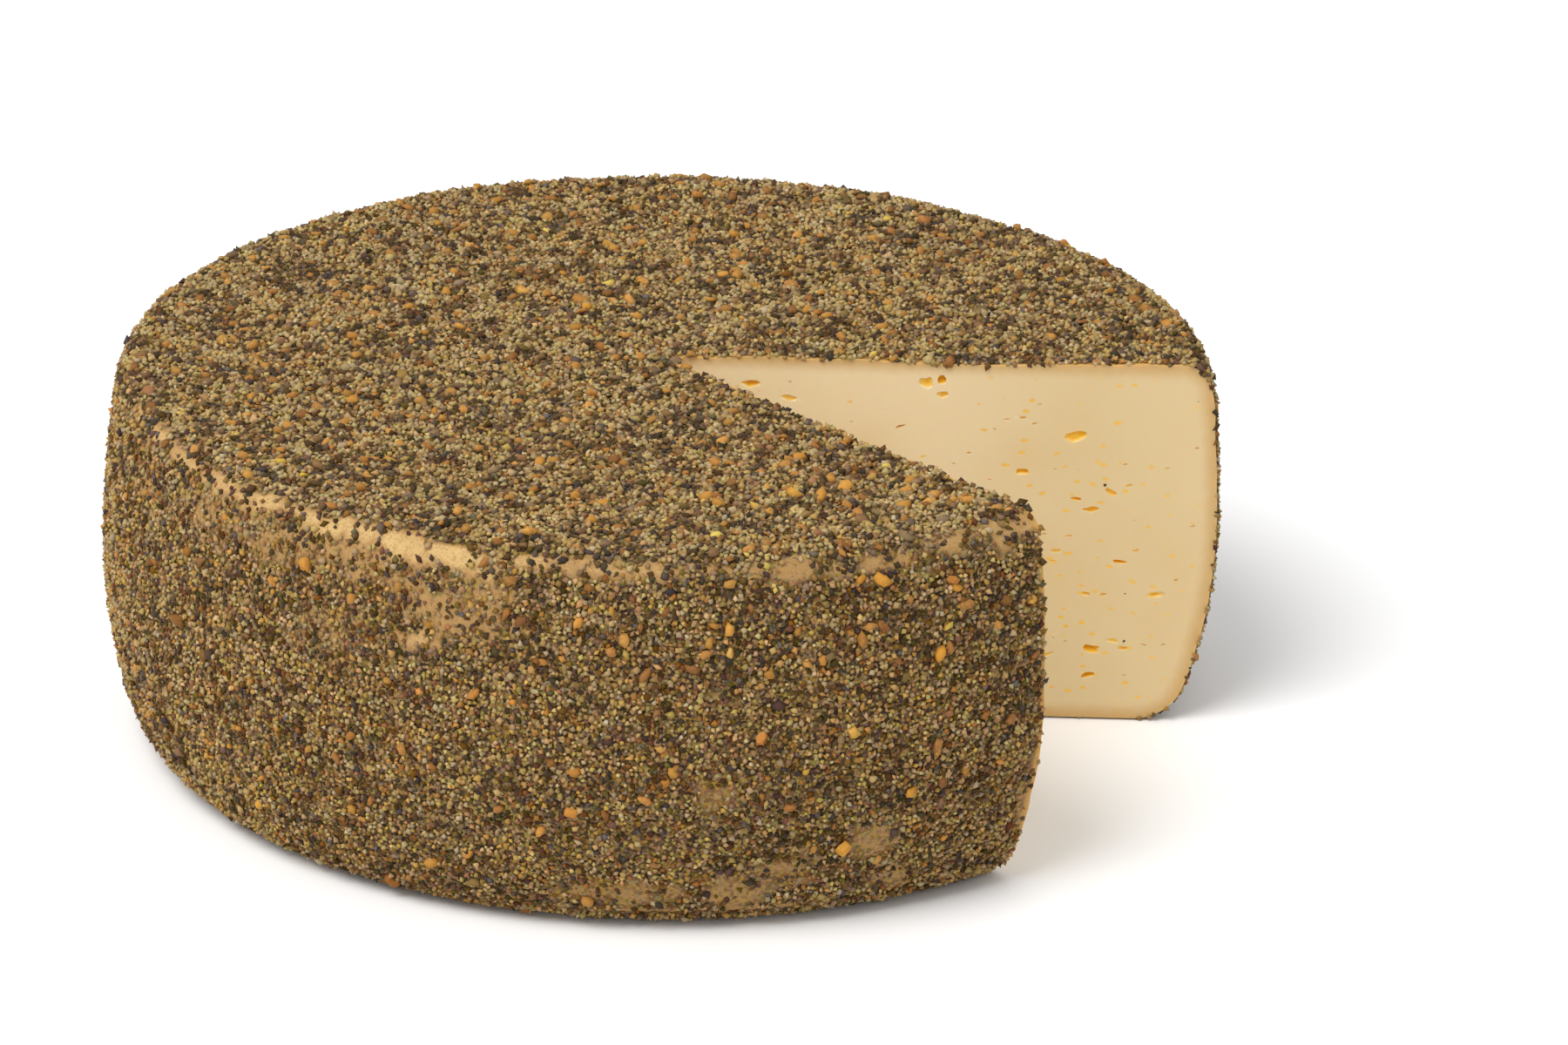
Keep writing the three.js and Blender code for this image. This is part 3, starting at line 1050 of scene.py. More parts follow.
@dataclass
class Eyes:
    """The small eyes of the two cut faces.

    Low is the shape of the chance that sets their heights, and outward and smallness are powers that
    favour places near the rind and short eyes. Tall and deep are shares of an eye's length. One beside
    another strays from it by gather, along and up. Lumps and lump_size shape an eye's wall, and tilt is
    how far it turns, in radians.
    """

    notch: Notch
    section: Section
    rng: np.random.Generator
    count: int = 90
    shown: tuple[Eye, ...] = (
        Eye(*mm(54.0, 81.0, 3.4, 3.0, 0.5)), Eye(*mm(57.6, 81.8, 2.4, 1.8, 1.5)),
        Eye(*mm(57.6, 78.3, 2.6, 1.6, 0.6)), Eye(*mm(23.4, 76.6, 3.4, 1.4, 0.5)),
    )
    length: Span = mm(1.0, 5.0)
    smallness: float = 3.4
    tall: Span = (0.28, 0.5)
    deep: Span = (0.06, 0.24)
    least_depth: float = 0.15 * MM
    low: Span = (1.2, 1.7)
    outward: float = 0.8
    beside: float = 0.55
    gather: Span = mm(5.0, 1.4)
    clearance: float = 1.15
    margin: float = 4.5 * MM
    lumps: float = 0.9
    lump_size: float = 0.8
    tilt: float = 0.16

    def _scattered(self) -> list[Eye]:
        """Eyes in one face, many small and few large, mostly low down, and often beside one another.

        Returns:
            The eyes, none of which meets another.
        """
        rng = self.rng
        highest = self.section.height - self.margin
        shortest, longest = self.length
        eyes: list[Eye] = []
        while len(eyes) < self.count:
            height = self.margin + rng.beta(*self.low) * (highest - self.margin)
            reach = float(self.section.side_radius(height)) - 2 * self.margin
            along = self.margin + rng.random() ** self.outward * (reach - self.margin)
            if eyes and rng.random() < self.beside:
                near = eyes[rng.integers(len(eyes))]
                along = near.along + rng.normal(0, self.gather[0])
                height = near.height + rng.normal(0, self.gather[1])
            length = shortest + (longest - shortest) * rng.random() ** self.smallness
            tall = length * rng.uniform(*self.tall)
            eye = Eye(along, height, length, tall, self.least_depth + length * rng.uniform(*self.deep))
            inside = self.margin < along < reach and self.margin < height < highest
            if inside and self._clear(eye, eyes):
                eyes.append(eye)
        return eyes

    def _clear(self, one: Eye, others: Sequence[Eye]) -> bool:
        """Whether an eye stays apart from all the others of its face."""
        return all(
            math.hypot(one.along - other.along, one.height - other.height)
            > self.clearance * (one.length + other.length) / 2
            for other in others
        )

    def _placed(self, eye: Eye, cut: Cut, ball: Array) -> Array:
        """The points of the lump that cuts an eye into a cut face, made from those of a ball.

        Args:
            eye: The eye.
            cut: The cut whose face it is in.
            ball: The points of a ball of radius 1.

        Returns:
            The lump's points, in metres.
        """
        bulge = Noise(int(self.rng.integers(SEED_LIMIT)), self.lump_size).at(ball) - 0.5
        lump = ball * (1 + self.lumps * bulge)[:, None] * [eye.length / 2, eye.tall / 2, eye.deep]
        tilt = self.rng.normal(0, self.tilt)
        along = eye.along + lump[:, 0] * math.cos(tilt) - lump[:, 1] * math.sin(tilt)
        height = eye.height + lump[:, 0] * math.sin(tilt) + lump[:, 1] * math.cos(tilt)
        plan = cut.start + np.outer(along, cut.way) + np.outer(lump[:, 2], cut.across)
        return np.column_stack([plan, height])

    def cutter(self) -> bpy.types.Object:
        """Makes one object of all the lumps that cut the eyes.

        Returns:
            The object.
        """
        far = [*self.shown, *(eye for eye in self._scattered() if self._clear(eye, self.shown))]
        placed = [(eye, self.notch.far) for eye in far]
        placed += [(eye, self.notch.near) for eye in self._scattered()]
        ball, faces = ball_template()
        points = [self._placed(eye, cut, ball) for eye, cut in placed]
        triangles = [faces + len(ball) * number for number in range(len(placed))]
        return mesh_object("eye_cutter", np.concatenate(points), np.concatenate(triangles))


def ball_template() -> tuple[Array, Array]:
    """A ball of radius 1.

    Returns:
        Its points, and its eighty triangles as numbers of points.
    """
    made = bmesh.new()
    bmesh.ops.create_icosphere(made, subdivisions=2, radius=1.0)
    points = np.array([vertex.co[:] for vertex in made.verts])
    triangles = np.array([[vertex.index for vertex in face.verts] for face in made.faces])
    made.free()
    return points, triangles


@dataclass
class Wheel:
    """The cheese itself: one closed mesh of rind outside and paste in the cut faces.

    The rind lies a little under the coat's surface, its points a pitch apart. Wall play is how far a cut
    face strays from its plane, and the rind beside a cut is bare by cut_bareness. Edges that turn by more
    than sharp_edge, in degrees, stay sharp.
    """

    section: Section
    skin: Skin
    notch: Notch
    coverage: Coverage
    eyes: Eyes
    pitch: float = 1.8 * MM
    base_pitch: float = 3.5 * MM
    fewest: int = 6
    rind_depth: float = 0.55 * MM
    wall_play: float = 0.12 * MM
    cut_bareness: float = 0.8
    sharp_edge: float = 38.0

    def _whole(self) -> bpy.types.Object:
        """The wheel before it is cut: rings of triangles of even size.

        Returns:
            The wheel as an object.
        """
        foot = np.arange(self.base_pitch, self.section.foot_at, self.base_pitch)
        rest = np.arange(self.section.foot_at, self.section.length - self.pitch / 2, self.pitch)
        rings = np.concatenate([foot, rest])
        _, counts = self.section.rings(rings, self.base_pitch, self.pitch, self.fewest)
        starts = np.concatenate([[0], np.cumsum(counts)])
        along = np.concatenate([np.repeat(rings, counts), [0.0, self.section.length]])
        azimuth = np.concatenate([*(2 * math.pi * np.arange(n) / n for n in counts), [0.0, 0.0]])
        points, _ = self.skin.places(along, azimuth, self.rind_depth)
        points[:, 2] = np.maximum(points[:, 2], self.rind_depth / 2)
        base_centre, top_centre = starts[-1], starts[-1] + 1
        first, last, top = counts[0], counts[-1], starts[-2]
        triangles = [(base_centre, (i + 1) % first, i) for i in range(first)]
        for ring in range(len(rings) - 1):
            triangles += self._stitch(starts[ring], counts[ring], starts[ring + 1], counts[ring + 1])
        triangles += [(top_centre, top + i, top + (i + 1) % last) for i in range(last)]
        return mesh_object("cheese", points, np.array(triangles))

    @staticmethod
    def _stitch(lower: int, low_count: int, upper: int, up_count: int) -> list[tuple[int, int, int]]:
        """Fills the band between two rings with triangles, though their numbers of points differ.

        Args:
            lower: The number of the lower ring's first point.
            low_count: How many points it has.
            upper: The number of the upper ring's first point.
            up_count: How many points that has.

        Returns:
            The triangles, as numbers of points.
        """
        triangles = []
        low = up = 0
        while low < low_count or up < up_count:
            if up == up_count or (low < low_count and (low + 1) * up_count <= (up + 1) * low_count):
                triangles.append((lower + low, lower + (low + 1) % low_count, upper + up % up_count))
                low += 1
            else:
                triangles.append((lower + low % low_count, upper + (up + 1) % up_count, upper + up))
                up += 1
        return triangles

    def build(self) -> bpy.types.Object:
        """Makes the wheel, cuts its notch and eyes, and dresses it.

        Returns:
            The finished wheel.
        """
        finishes = [RindFinish().material(), PasteFinish().material()]
        cheese = self._whole()
        cutters = [self.notch.cutter(self.section.height), self.eyes.cutter()]
        for made in (cheese, *cutters):
            for finish in finishes:
                made.data.materials.append(finish)
        for cutter in cutters:
            cutter.data.polygons.foreach_set("material_index", [1] * len(cutter.data.polygons))
            cut = cheese.modifiers.new(cutter.name, "BOOLEAN")
            cut.operation = "DIFFERENCE"
            cut.solver = "MANIFOLD"
            cut.object = cutter
        evaluated = cheese.evaluated_get(bpy.context.evaluated_depsgraph_get())
        shaped = bpy.data.meshes.new_from_object(evaluated)
        cheese.modifiers.clear()
        cheese.data = shaped
        shaped.name = "cheese"
        for cutter in cutters:
            bpy.data.objects.remove(cutter)
        self._mark(shaped)
        return cheese

    def _mark(self, mesh: bpy.types.Mesh) -> None:
        """Keeps on the mesh what its materials read, and shades it smoothly but for its cut edges.

        Args:
            mesh: The wheel's mesh, once it is cut.
        """
        count = len(mesh.vertices)
        points = np.empty(count * 3)
        mesh.vertices.foreach_get("co", points)
        points = points.reshape(-1, 3)
        along, depth = self.section.nearest(points)
        azimuth = np.arctan2(points[:, 1], points[:, 0])
        left, bare = self.coverage.at(along, azimuth, points)
        behind = self.notch.behind(points)
        by_cut = 1 - smooth_step(behind, self.wall_play, self.pitch)
        keep_numbers(mesh, "coat", left)
        keep_numbers(mesh, "bare", np.maximum(bare, self.cut_bareness * by_cut))
        keep_numbers(mesh, "by_cut", by_cut)
        keep_numbers(mesh, "skin_depth", depth / MM)
        keep_numbers(mesh, "eye_depth", (behind - self.wall_play) / MM)
        mesh.polygons.foreach_set("use_smooth", [True] * len(mesh.polygons))
        mesh.set_sharp_from_angle(angle=math.radians(self.sharp_edge))


class Shape(Enum):
    """The shapes that grains are made from, by their sides: a chip, a rounder crumb and a thick flake."""

    CHIP = 3
    CRUMB = 4
    FLAKE = 6

    def template(self) -> tuple[Array, Array]:
        """The shape on its own, its points about 1 from its middle.

        Returns:
            Its points, and its triangles as numbers of points.
        """
        sides = self.value
        turns = 2 * math.pi * np.arange(sides) / sides
        ring = np.column_stack([np.cos(turns), np.sin(turns), np.zeros(sides)])
        if self is Shape.FLAKE:
            points = np.concatenate([ring + [0, 0, FLAKE_BASE], ring * FLAKE_TOP_SIZE + [0, 0, 1]])
            walls, base, lid = block_faces(sides, 2)
            return points, np.concatenate([walls, lid, base])
        here = np.arange(sides)
        after = (here + 1) % sides
        points = np.concatenate([ring, [[0, 0, 1], [0, 0, -1]]])
        top = np.stack([here, after, np.full(sides, sides)], 1)
        bottom = np.stack([after, here, np.full(sides, sides + 1)], 1)
        return points, np.concatenate([top, bottom])


@dataclass(frozen=True)
class Spice:
    """One kind of grain in the coat.

    Its share is how often a place in the coat is given to it, and its size is the least and most length.
    Width and thickness are shares of the length, and rise is how far its middle stands above the layer's
    depth, least and most. A grain clings where the coat is thin more often the smaller its shyness is.
    Tilt is how far grains lean out of the skin's way, and unevenness how far their corners stray.
    Marks are grains at chosen places: azimuth, distance below the top edge and length, in degrees and
    millimetres. Where tones is under 1, the other grains keep to that first share of the ramp and the
    marks to its last. Growth is how much longer the grains of the flat top are than those of the side,
    and variety is how much further apart the tints of the side's grains lie.
    """

    name: str
    slot: Slot
    shape: Shape
    finish: SpiceFinish
    share: float
    size: Span
    width: Span = (0.45, 0.9)
    thickness: float = 0.5
    thickness_spread: Span = (0.75, 1.25)
    rise: Span = mm(-0.15, 0.3)
    shyness: float = 1.0
    tilt: float = 0.3
    unevenness: float = 0.4
    tones: float = 1.0
    growth: float = 0.2
    variety: float = 0.5
    marks: tuple[tuple[float, float, float], ...] = ()

    def build(self, points: Array, normals: Array, rng: np.random.Generator) -> bpy.types.Object:
        """Makes all the grains of this kind as one object.

        Args:
            points: A place for each grain, those of the marks last.
            normals: The way out of the skin there.
            rng: The source of chance.

        Returns:
            The object, with its material.
        """
        template, faces = self.shape.template()
        count, corners = len(points), len(template)
        upright = np.clip(normals[:, 2], 0, 1)
        length = rng.uniform(*self.size, count) / 2 * (1 + self.growth * upright)
        tone = self.tones * rng.random(count)
        if self.marks:
            length[-len(self.marks):] = [mark[2] * MM / 2 for mark in self.marks]
            tone[-len(self.marks):] += 1 - self.tones
        width = length * rng.uniform(*self.width, count)
        thickness = length * self.thickness * rng.uniform(*self.thickness_spread, count)
        shape = template * (1 + self.unevenness * rng.uniform(-1, 1, (count, corners, 1)))
        shape = shape * np.stack([length, width, thickness], 1)[:, None, :]
        middles = points + normals * rng.uniform(*self.rise, count)[:, None]
        placed = np.einsum("nck,nkd->ncd", shape, self._frames(normals, rng)) + middles[:, None, :]
        placed = placed.reshape(-1, 3)
        placed[:, 2] = np.maximum(placed[:, 2], 0.0)
        triangles = (faces[None] + corners * np.arange(count)[:, None, None]).reshape(-1, 3)
        made = mesh_object(self.name, placed, triangles)
        made.data.materials.append(self.finish.material())
        keep_numbers(made.data, "tone", np.repeat(tone, corners))
        chance = np.clip(rng.normal(size=(count, len(HUES))), *HUE_CHANCE)
        spread = self.finish.spread * (1 + self.variety * (1 - upright))
        tint = np.exp(spread[:, None] * (chance @ HUES))
        keep_numbers(made.data, "tint", np.repeat(tint, corners, axis=0))
        self._lay_out(made.data, template, faces, count)
        return made

    def _frames(self, normals: Array, rng: np.random.Generator) -> Array:
        """A turned and tilted set of three directions for each grain.

        Args:
            normals: The way out of the skin at each grain.
            rng: The source of chance.

        Returns:
            The ways along each grain, across it and out of it.
        """
        count = len(normals)
        outward = normals + rng.normal(0, self.tilt, (count, 3))
        outward /= np.linalg.norm(outward, axis=1)[:, None]
        chance = rng.normal(size=(count, 3))
        lengthways = np.cross(outward, chance)
        lengthways /= np.linalg.norm(lengthways, axis=1)[:, None]
        return np.stack([lengthways, np.cross(outward, lengthways), outward], 1)

    @staticmethod
    def _lay_out(mesh: bpy.types.Mesh, template: Array, faces: Array, count: int) -> None:
        """Gives each grain its own small square of the baking map, so that none takes another's colour.

        Args:
            mesh: The mesh of all the grains.
            template: The points of their shape.
            faces: Its triangles.
            count: The number of grains.
        """
        side = math.ceil(math.sqrt(count))
        inner = BAKE_SHARE * template[faces.ravel(), :2] + 0.5
        cell = np.stack([np.arange(count) % side, np.arange(count) // side], 1)
        places = (cell[:, None, :] + inner[None]) / side
        layer = mesh.uv_layers.new(name=BAKE_MAP)
        layer.data.foreach_set("uv", places.astype(np.float32).ravel())


# The side tints of these finishes are painted warm shade down the side.
CHARCOAL = SpiceFinish(
    "charcoal", shades((0.0, 62, 49, 34), (0.5, 82, 64, 43), (0.85, 102, 81, 55), (1.0, 112, 96, 70)),
    spread=1.3, side=(1.0, 0.94, 0.77),
)
UMBER = SpiceFinish(
    "umber", shades((0.0, 108, 82, 53), (0.5, 128, 100, 65), (1.0, 146, 116, 77)),
    spread=0.8, side=(1.0, 0.93, 0.85),
)
OLIVE = SpiceFinish("olive", shades((0.0, 138, 112, 73), (0.5, 154, 129, 86), (1.0, 167, 142, 95)))
KHAKI = SpiceFinish("khaki", shades((0.0, 154, 129, 86), (0.5, 169, 144, 96), (1.0, 181, 157, 107)))
CREAM = SpiceFinish("cream", shades((0.0, 172, 148, 98), (0.6, 186, 163, 111), (1.0, 199, 178, 127)))
RUST = SpiceFinish(
    "rust", shades((0.0, 122, 81, 41), (0.4, 150, 102, 50), (0.75, 174, 122, 58), (1.0, 192, 142, 72)),
    spread=0.3, side=(0.95, 0.92, 0.88), shine=0.2, mottle=0.8 * MM, mottle_share=0.9,
)
AMBER = SpiceFinish(
    "amber", shades((0.0, 154, 108, 50), (0.55, 180, 130, 58), (0.6, 180, 124, 50), (0.85, 196, 144, 62),
                    (1.0, 206, 160, 78)),
    spread=0.3, side=(0.97, 0.95, 0.93), shine=0.2, mottle=0.8 * MM, mottle_share=0.5,
)
GOLD = SpiceFinish(
    "gold", shades((0.0, 184, 146, 60), (0.6, 202, 172, 72), (1.0, 212, 188, 88)), spread=0.3, shine=0.2,
)
IVORY = SpiceFinish("ivory", shades((0.0, 166, 144, 102), (1.0, 184, 165, 124)), spread=0.3)


@dataclass(frozen=True)
class Scatter:
    """One layer of the coat: how far apart its places are, and which kinds share them.

    Used is the share of the places that are used, and side is what it is multiplied by on the side. Depth
    is how far under the coat's surface they lie. Clumping is how far kinds keep together, from 0 to 1, in
    clumps and in larger patches of about those sizes.
    """

    pitch: float
    base_pitch: float
    kinds: tuple[Spice, ...]
    used: float = 1.0
    side: float = 1.0
    depth: float = 0.45 * MM
    clumping: float = 0.5
    clump: float = 2.2 * MM
    patch: float = 6.0 * MM


# The flakes at chosen places: azimuth, distance below the top edge and length, in degrees and millimetres
RUST_MARKS = (
    (-98, 13, 3.5), (-59.5, 14.5, 5), (-68.5, 16, 4), (-70.5, 18.5, 4), (-87, 22.5, 4), (-91.5, 23.5, 4),
    (-93.5, 16.5, 4.4), (-97, 5.5, 3), (-146, 36, 5), (-115.5, 46, 3.5), (-77.5, 55, 3.5), (-62.5, 45, 4.6),
    (-80.5, 38, 3.5), (-91.5, 52, 3.5), (-119, 83, 4), (-99, -54, 4), (-69, -49, 4), (-124, -38, 3),
    (-104, -10, 4.5), (-89, -43, 3.5), (-77, -66, 3.5), (-66, -65, 4), (121, -83, 5), (104, -88, 4),
    (-172, -86, 4), (68, -38, 4), (70, -52, 4), (123, -66, 3.5), (72, -67, 4.5), (-56, -19.5, 4.5),
    (-58, -25, 5), (-54, -13, 4), (-67, -17, 4), (-59, -35, 4), (-64, -25.5, 4), (-68, -1.5, 3),
    (-61, 8.5, 3.6), (-54.8, 16, 3.5), (-104.8, 5.5, 3.6), (-105, 12.5, 3.2),
)
AMBER_MARKS = (
    (-83.5, 14, 3.8), (-85.5, 17, 3.2), (-83.5, 19, 2.8), (-83.5, 4.5, 3.2), (-68.5, 6, 4.2),
    (-70.5, 5.5, 3), (-74.5, 22, 3), (-62.5, 24.5, 4.2), (-127, 10.5, 4.2), (-122, 64.5, 3), (-135, 72, 3),
    (-113.5, 74, 4), (-88.8, 45.5, 3.4), (-71.5, 67, 4.6), (-71.5, 38.5, 4), (-65, 55, 3.4),
    (-98.5, 56, 3.6), (-149.5, -26, 4), (-111, -48, 4), (-102, -33, 4), (-98, -30, 3.5), (-114, -16, 3),
    (-84, -34, 4), (-65, -52, 4), (100, -52, 4), (123, -88, 3.5), (41, -78, 4), (33, -77, 4), (131, -71, 4),
    (-55.5, -29, 4), (-61, -17, 4), (-69, -29, 5), (-65, -37, 4), (-64.5, -32, 4.5), (-71.8, -31.5, 4.5),
    (-55.2, -14.5, 3.5), (-60.5, 10.5, 3), (-51.5, 17.5, 3.2),
)

FINE = Scatter(1.18 * MM, 2.7 * MM, (
    Spice("charcoal_pepper", Slot.PEPPER, Shape.CRUMB, CHARCOAL, 0.275, mm(1.3, 2.2), width=(0.55, 0.95),
          thickness=0.7, rise=mm(-0.3, 0.1), shyness=0.55, tilt=0.5, unevenness=0.32),
    Spice("umber_pepper", Slot.PEPPER, Shape.CRUMB, UMBER, 0.19, mm(1.3, 2.1), width=(0.55, 0.95),
          thickness=0.7, rise=mm(-0.25, 0.15), shyness=0.9, tilt=0.5, unevenness=0.32),
    Spice("olive_pepper", Slot.PEPPER, Shape.CRUMB, OLIVE, 0.20, mm(1.1, 1.85), width=(0.6, 1.0),
          thickness=0.8, rise=mm(-0.1, 0.25), shyness=1.8, tilt=0.5),
    Spice("khaki_pepper", Slot.PEPPER, Shape.CRUMB, KHAKI, 0.20, mm(1.1, 1.75), width=(0.65, 1.0),
          thickness=0.85, rise=mm(0, 0.4), shyness=2.4, tilt=0.5, unevenness=0.3),
    Spice("cream_pepper", Slot.PEPPER, Shape.CRUMB, CREAM, 0.075, mm(1.0, 1.55), width=(0.65, 1.0),
          thickness=0.85, rise=mm(0, 0.45), shyness=2.4, tilt=0.5, unevenness=0.3),
    Spice("peel_dust", Slot.PEEL, Shape.CHIP, RUST, 0.042, mm(1.1, 2.1), rise=mm(0, 0.3), growth=0.0),
), clumping=0.62, clump=2.6 * MM, patch=7.0 * MM)
BITS = Scatter(3.6 * MM, 9.0 * MM, (
    Spice("peppercorn_shell", Slot.PEPPER, Shape.CRUMB, CHARCOAL, 0.37, mm(1.8, 2.8), thickness=0.6,
          rise=mm(0.1, 0.4)),
    Spice("khaki_crumb", Slot.PEPPER, Shape.CRUMB, KHAKI, 0.40, mm(1.7, 2.5), thickness=0.7,
          rise=mm(0.1, 0.4)),
    Spice("peel_crumb", Slot.PEEL, Shape.CRUMB, RUST, 0.17, mm(1.7, 2.8), rise=mm(0.1, 0.4), growth=0.15),
), used=0.7, side=0.7, clumping=0.2)
FLAKES = Scatter(8.0 * MM, 40.0 * MM, (
    Spice("rust_flake", Slot.PEEL, Shape.FLAKE, RUST, 0.26, mm(2.2, 3.4), width=(0.5, 0.85), thickness=0.36,
          rise=mm(0.15, 0.45), tilt=0.32, unevenness=0.28, marks=RUST_MARKS),
    Spice("amber_flake", Slot.PEEL, Shape.FLAKE, AMBER, 0.22, mm(2.0, 3.2), width=(0.5, 0.85), thickness=0.4,
          rise=mm(0.15, 0.45), tilt=0.32, unevenness=0.28, tones=0.55, marks=AMBER_MARKS),
    Spice("zest", Slot.PEEL, Shape.FLAKE, GOLD, 0.012, mm(1.8, 3.2), width=(0.4, 0.7), thickness=0.4,
          rise=mm(0.15, 0.4), tilt=0.2, marks=((-61.5, 18.5, 3.2), (-78, -27, 3.6))),
    Spice("pale_flake", Slot.PEPPER, Shape.FLAKE, IVORY, 0.008, mm(1.8, 2.8), width=(0.6, 0.9), thickness=0.4,
          rise=mm(0.1, 0.3), tilt=0.2, marks=((73, -106, 3.2), (-180, -33, 2.6))),
    Spice("umber_flake", Slot.PEPPER, Shape.FLAKE, UMBER, 0.34, mm(2.0, 3.2), width=(0.6, 0.9),
          thickness=0.35, rise=mm(0.1, 0.3), tilt=0.2),
), side=0.3, clumping=0.0)
STRAY = Spice("stray_pepper", Slot.PEPPER, Shape.CRUMB, CHARCOAL, 1.0, mm(0.6, 1.1), thickness=0.6,
              rise=mm(-0.2, 0.0))


@dataclass
class Coat:
    """The whole coat: fine grains close together, coarser bits among them and flakes of peel on top.

    Cut margin is how far behind a cut the coat ends, at least and at most. Shake is how far a place is
    moved by chance, as a share of the pitch. Darkening is how much darker what is left of a thin coat is.
    The strays lie in the cut faces, inside the rind by stray_inset and mostly near it by stray_chance.
    """

    skin: Skin
    notch: Notch
    coverage: Coverage
    rng: np.random.Generator
    cut_margin: Span = mm(-0.5, 0.4)
    shake: float = 0.45
    darkening: float = 0.5
    patch_share: float = 1 / 3
    strays: int = 6
    stray_heights: Span = mm(8, 80)
    stray_chance: Span = (6.0, 0.8)
    stray_inset: float = 7 * MM
    layers: tuple[Scatter, ...] = (FINE, BITS, FLAKES)

    def _lattice(self, layer: Scatter) -> tuple[Array, Array, Array]:
        """Places spread evenly over the skin, each moved a little by chance, outside the notch.

        Args:
            layer: The layer that they are for.

        Returns:
            The point, the way out and the share of the coat that is left, for each place.
        """
        section = self.skin.section
        rows = np.concatenate([
            np.arange(layer.base_pitch / 2, section.foot_at, layer.base_pitch),
            np.arange(section.foot_at, section.length, layer.pitch),
        ])
        pitches, counts = section.rings(rows, layer.base_pitch, layer.pitch, 1)
        shake = self.rng.uniform(-self.shake, self.shake, (2, counts.sum()))
        along = np.clip(np.repeat(rows, counts) + shake[0] * np.repeat(pitches, counts), 0, section.length)
        turns = np.concatenate([(np.arange(n) + self.rng.random()) / n for n in counts])
        azimuth = 2 * math.pi * (turns + shake[1] / np.repeat(counts, counts))
        points, normals = self.skin.places(along, azimuth, layer.depth)
        left, _ = self.coverage.at(along, azimuth, points)
        on_side = (along > section.foot_at) & (along < section.edge_at)
        kept = self.notch.behind(points) > self.rng.uniform(*self.cut_margin, len(points))
        kept &= self.rng.random(len(points)) < layer.used * np.where(on_side, layer.side, 1.0)
        return points[kept], normals[kept], left[kept]

    def _kinds_at(self, layer: Scatter, points: Array, left: Array) -> Array:
        """Gives each place one of a layer's kinds by chance, like keeping near like.

        Args:
            layer: The layer, its kinds in order from dark to light.
            points: The places.
            left: The share of the coat that is left there; what is left of a thin coat is darker.

        Returns:
            The number of the kind, for each place.
        """
        mixed = (1 - layer.clumping) * self.rng.random(len(points))
        mixed += layer.clumping * Noise(Seed.CLUMPS, layer.clump).at(points)
        mixed += layer.clumping * self.patch_share * Noise(Seed.PATCHES, layer.patch).at(points)
        rank = np.argsort(np.argsort(mixed)) / len(points) * (1 - self.darkening * (1 - left))
        shares = np.cumsum([kind.share for kind in layer.kinds])
        return np.searchsorted(shares / shares[-1], rank)

    def _marks(self, kind: Spice, depth: float) -> tuple[Array, Array]:
        """The places of a kind's marks and the ways out of the skin there.

        Args:
            kind: The kind.
            depth: How far under the coat's surface they lie.

        Returns:
            The points and the ways out.
        """
        marks = np.array(kind.marks).reshape(-1, 3)
        along = self.skin.section.edge_at - marks[:, 1] * MM
        return self.skin.places(along, np.radians(marks[:, 0]), depth)

    def _strays(self) -> bpy.types.Object:
        """Makes the few grains that lie in the two cut faces, most of them near the rind.

        Returns:
            The grains as one object.
        """
        points, normals = [], []
        for cut in (self.notch.far, self.notch.near):
            height = self.rng.uniform(*self.stray_heights, self.strays)
            reach = self.skin.section.side_radius(height) - self.stray_inset
            along = self.rng.beta(*self.stray_chance, self.strays) * reach
            points.append(np.column_stack([cut.start + along[:, None] * cut.way, height]))
            normals.append(np.tile([*(cut.side * cut.across), 0.0], (self.strays, 1)))
        return STRAY.build(np.concatenate(points), np.concatenate(normals), self.rng)

    def build(self) -> list[tuple[bpy.types.Object, Slot]]:
        """Makes every kind of grain, each as one object with its slot.

        Returns:
            The objects and their slots.
        """
        made = [(self._strays(), STRAY.slot)]
        for layer in self.layers:
            points, normals, left = self._lattice(layer)
            kind_of = self._kinds_at(layer, points, left)
            chance = self.rng.random(len(points))
            for number, kind in enumerate(layer.kinds):
                kept = (kind_of == number) & (chance < left**kind.shyness)
                marked, marked_ways = self._marks(kind, layer.depth)
                places = np.concatenate([points[kept], marked])
                ways = np.concatenate([normals[kept], marked_ways])
                made.append((kind.build(places, ways, self.rng), kind.slot))
        return made


@dataclass(frozen=True)
class Viewpoint:
    """The camera: its distance from the base's middle, its turns in degrees, and its lens in millimetres."""

    distance: float = 1390 * MM
    elevation: float = 24.09
    turned_right: float = 1.14
    turned_up: float = 1.73
    roll: float = 0.50
    lens: float = 140.0
    sensor: float = 36.0
    farthest: float = 50.0

    def build(self) -> None:
        """Makes the camera and sets it as the scene's."""
        data = bpy.data.cameras.new("camera")
        data.lens = self.lens
        data.sensor_width = self.sensor
        data.clip_end = self.farthest
        camera = bpy.data.objects.new("camera", data)
        bpy.context.scene.collection.objects.link(camera)
        rise = math.radians(self.elevation)
        place = Vector((0, -math.cos(rise), math.sin(rise))) * self.distance
        turn = Matrix.Rotation(math.pi / 2 - rise, 4, "X")
        turn = turn @ Matrix.Rotation(-math.radians(self.turned_right), 4, "Y")
        turn = turn @ Matrix.Rotation(math.radians(self.turned_up), 4, "X")
        turn = turn @ Matrix.Rotation(math.radians(self.roll), 4, "Z")
        camera.matrix_world = Matrix.Translation(place) @ turn
        bpy.context.scene.camera = camera


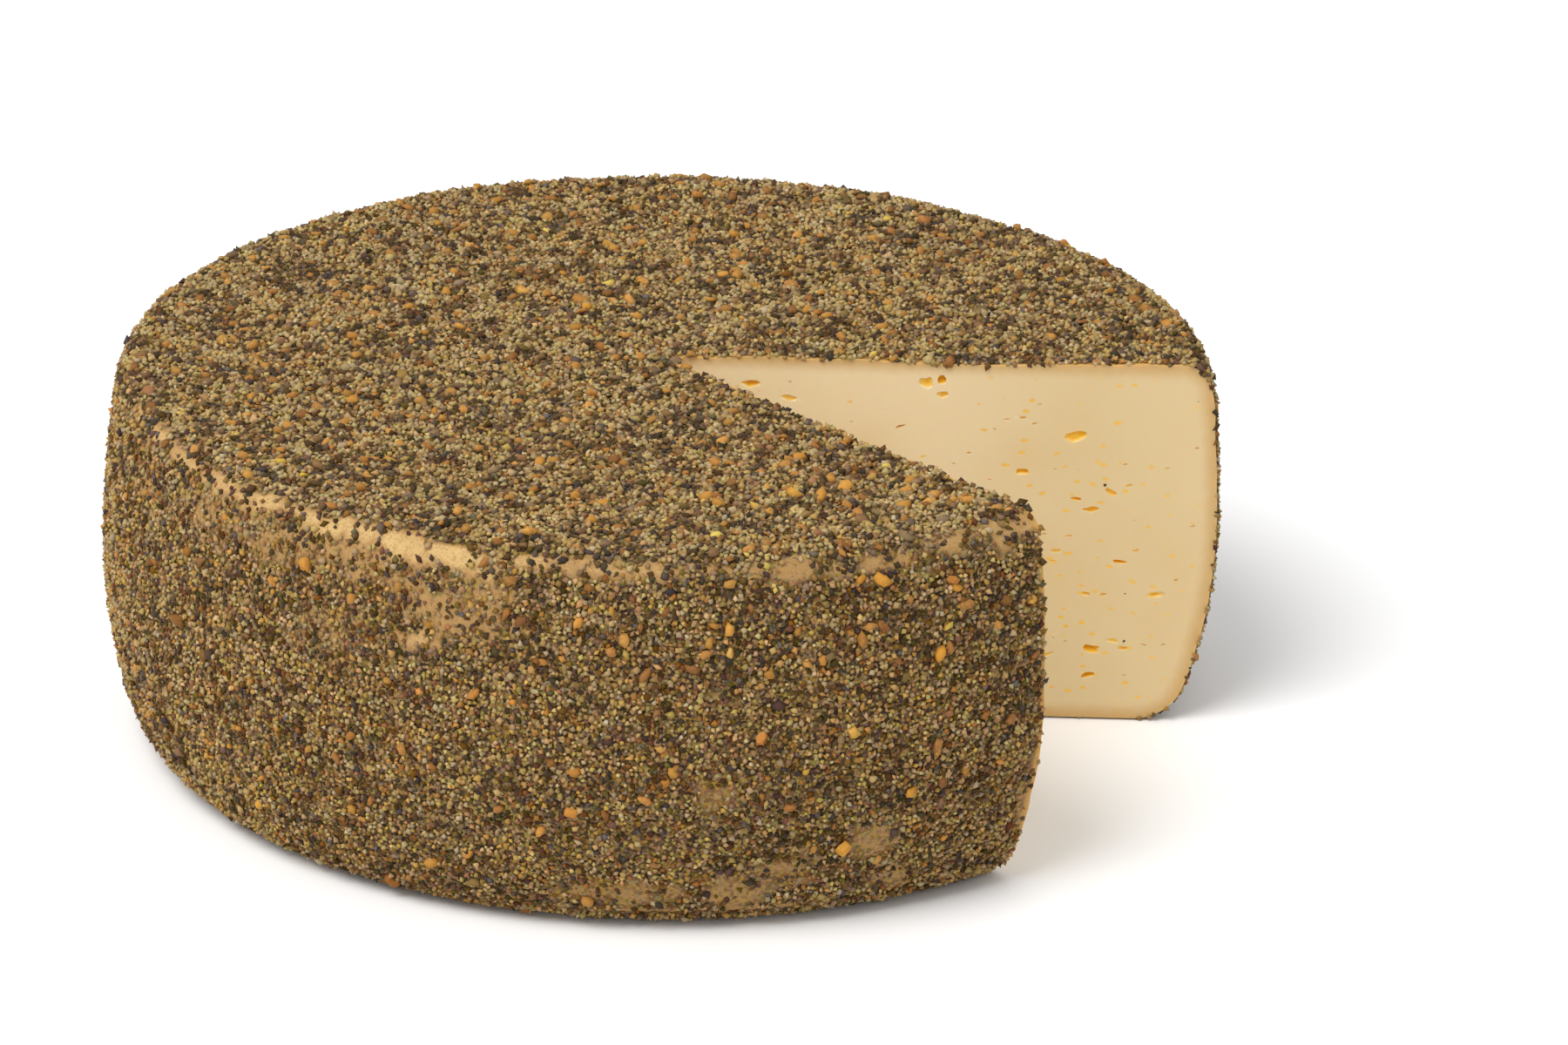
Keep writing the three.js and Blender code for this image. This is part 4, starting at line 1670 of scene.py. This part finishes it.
@dataclass(frozen=True)
class Lamp:
    """One soft round light: its place, its width in metres and its power."""

    name: str
    place: tuple[float, float, float]
    size: float
    watts: float

    def build(self) -> None:
        """Makes the light, aimed at the wheel."""
        data = bpy.data.lights.new(self.name, "AREA")
        data.shape = "DISK"
        data.size = self.size
        data.energy = self.watts
        lamp = bpy.data.objects.new(self.name, data)
        bpy.context.scene.collection.objects.link(lamp)
        lamp.location = self.place
        lamp.rotation_euler = Vector(self.place).to_track_quat("Z", "Y").to_euler()


@dataclass(frozen=True)
class Studio:
    """A pale floor in even white light, with a large lamp high up on the left and a weak one beside it."""

    floor_size: float = 12.0
    sky: float = 0.76
    lamps: tuple[Lamp, ...] = (
        Lamp("key", (-0.95, -1.02, 2.10), 1.5, 43.0),
        Lamp("side_fill", (-2.20, 0.10, 1.00), 1.2, 7.0),
    )

    def build(self) -> bpy.types.Object:
        """Makes the floor, the lamps and the white surround.

        Returns:
            The floor.
        """
        half = self.floor_size / 2
        corners = np.array([[-half, -half, 0], [half, -half, 0], [half, half, 0], [-half, half, 0]])
        floor = mesh_object("floor", corners, np.array([[0, 1, 2], [0, 2, 3]]))
        floor.data.materials.append(FloorFinish().material())
        for lamp in self.lamps:
            lamp.build()
        world = bpy.data.worlds.new("surround")
        world.use_nodes = True
        background = world.node_tree.nodes["Background"]
        background.inputs["Color"].default_value = (1.0, 1.0, 1.0, 1.0)
        background.inputs["Strength"].default_value = self.sky
        bpy.context.scene.world = world
        settings = bpy.context.scene.view_settings
        settings.view_transform = "Standard"
        settings.look = "None"
        return floor


def place_on_frame(piece: bpy.types.Object, slot: Slot) -> None:
    """Makes a piece ride on the wheel's body in place of its solid.

    Args:
        piece: The piece.
        slot: The slot of its finish.
    """
    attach(piece, BODY)
    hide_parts(NODE)
    LOG.info("%s: %d faces, slot %s", piece.name, len(piece.data.polygons), slot.value)


def main() -> None:
    """Builds the studio, the wheel and its coat."""
    logging.basicConfig(level=logging.INFO, format="%(name)s %(message)s")
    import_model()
    Viewpoint().build()
    Studio().build()

    section = Section()
    notch = Notch()
    skin = Skin(section)
    coverage = Coverage(section)
    eyes = Eyes(notch, section, np.random.default_rng(Seed.EYES))
    place_on_frame(Wheel(section, skin, notch, coverage, eyes).build(), Slot.PASTE)
    for piece, slot in Coat(skin, notch, coverage, np.random.default_rng(Seed.GRAINS)).build():
        place_on_frame(piece, slot)


if __name__ == "__main__":
    main()
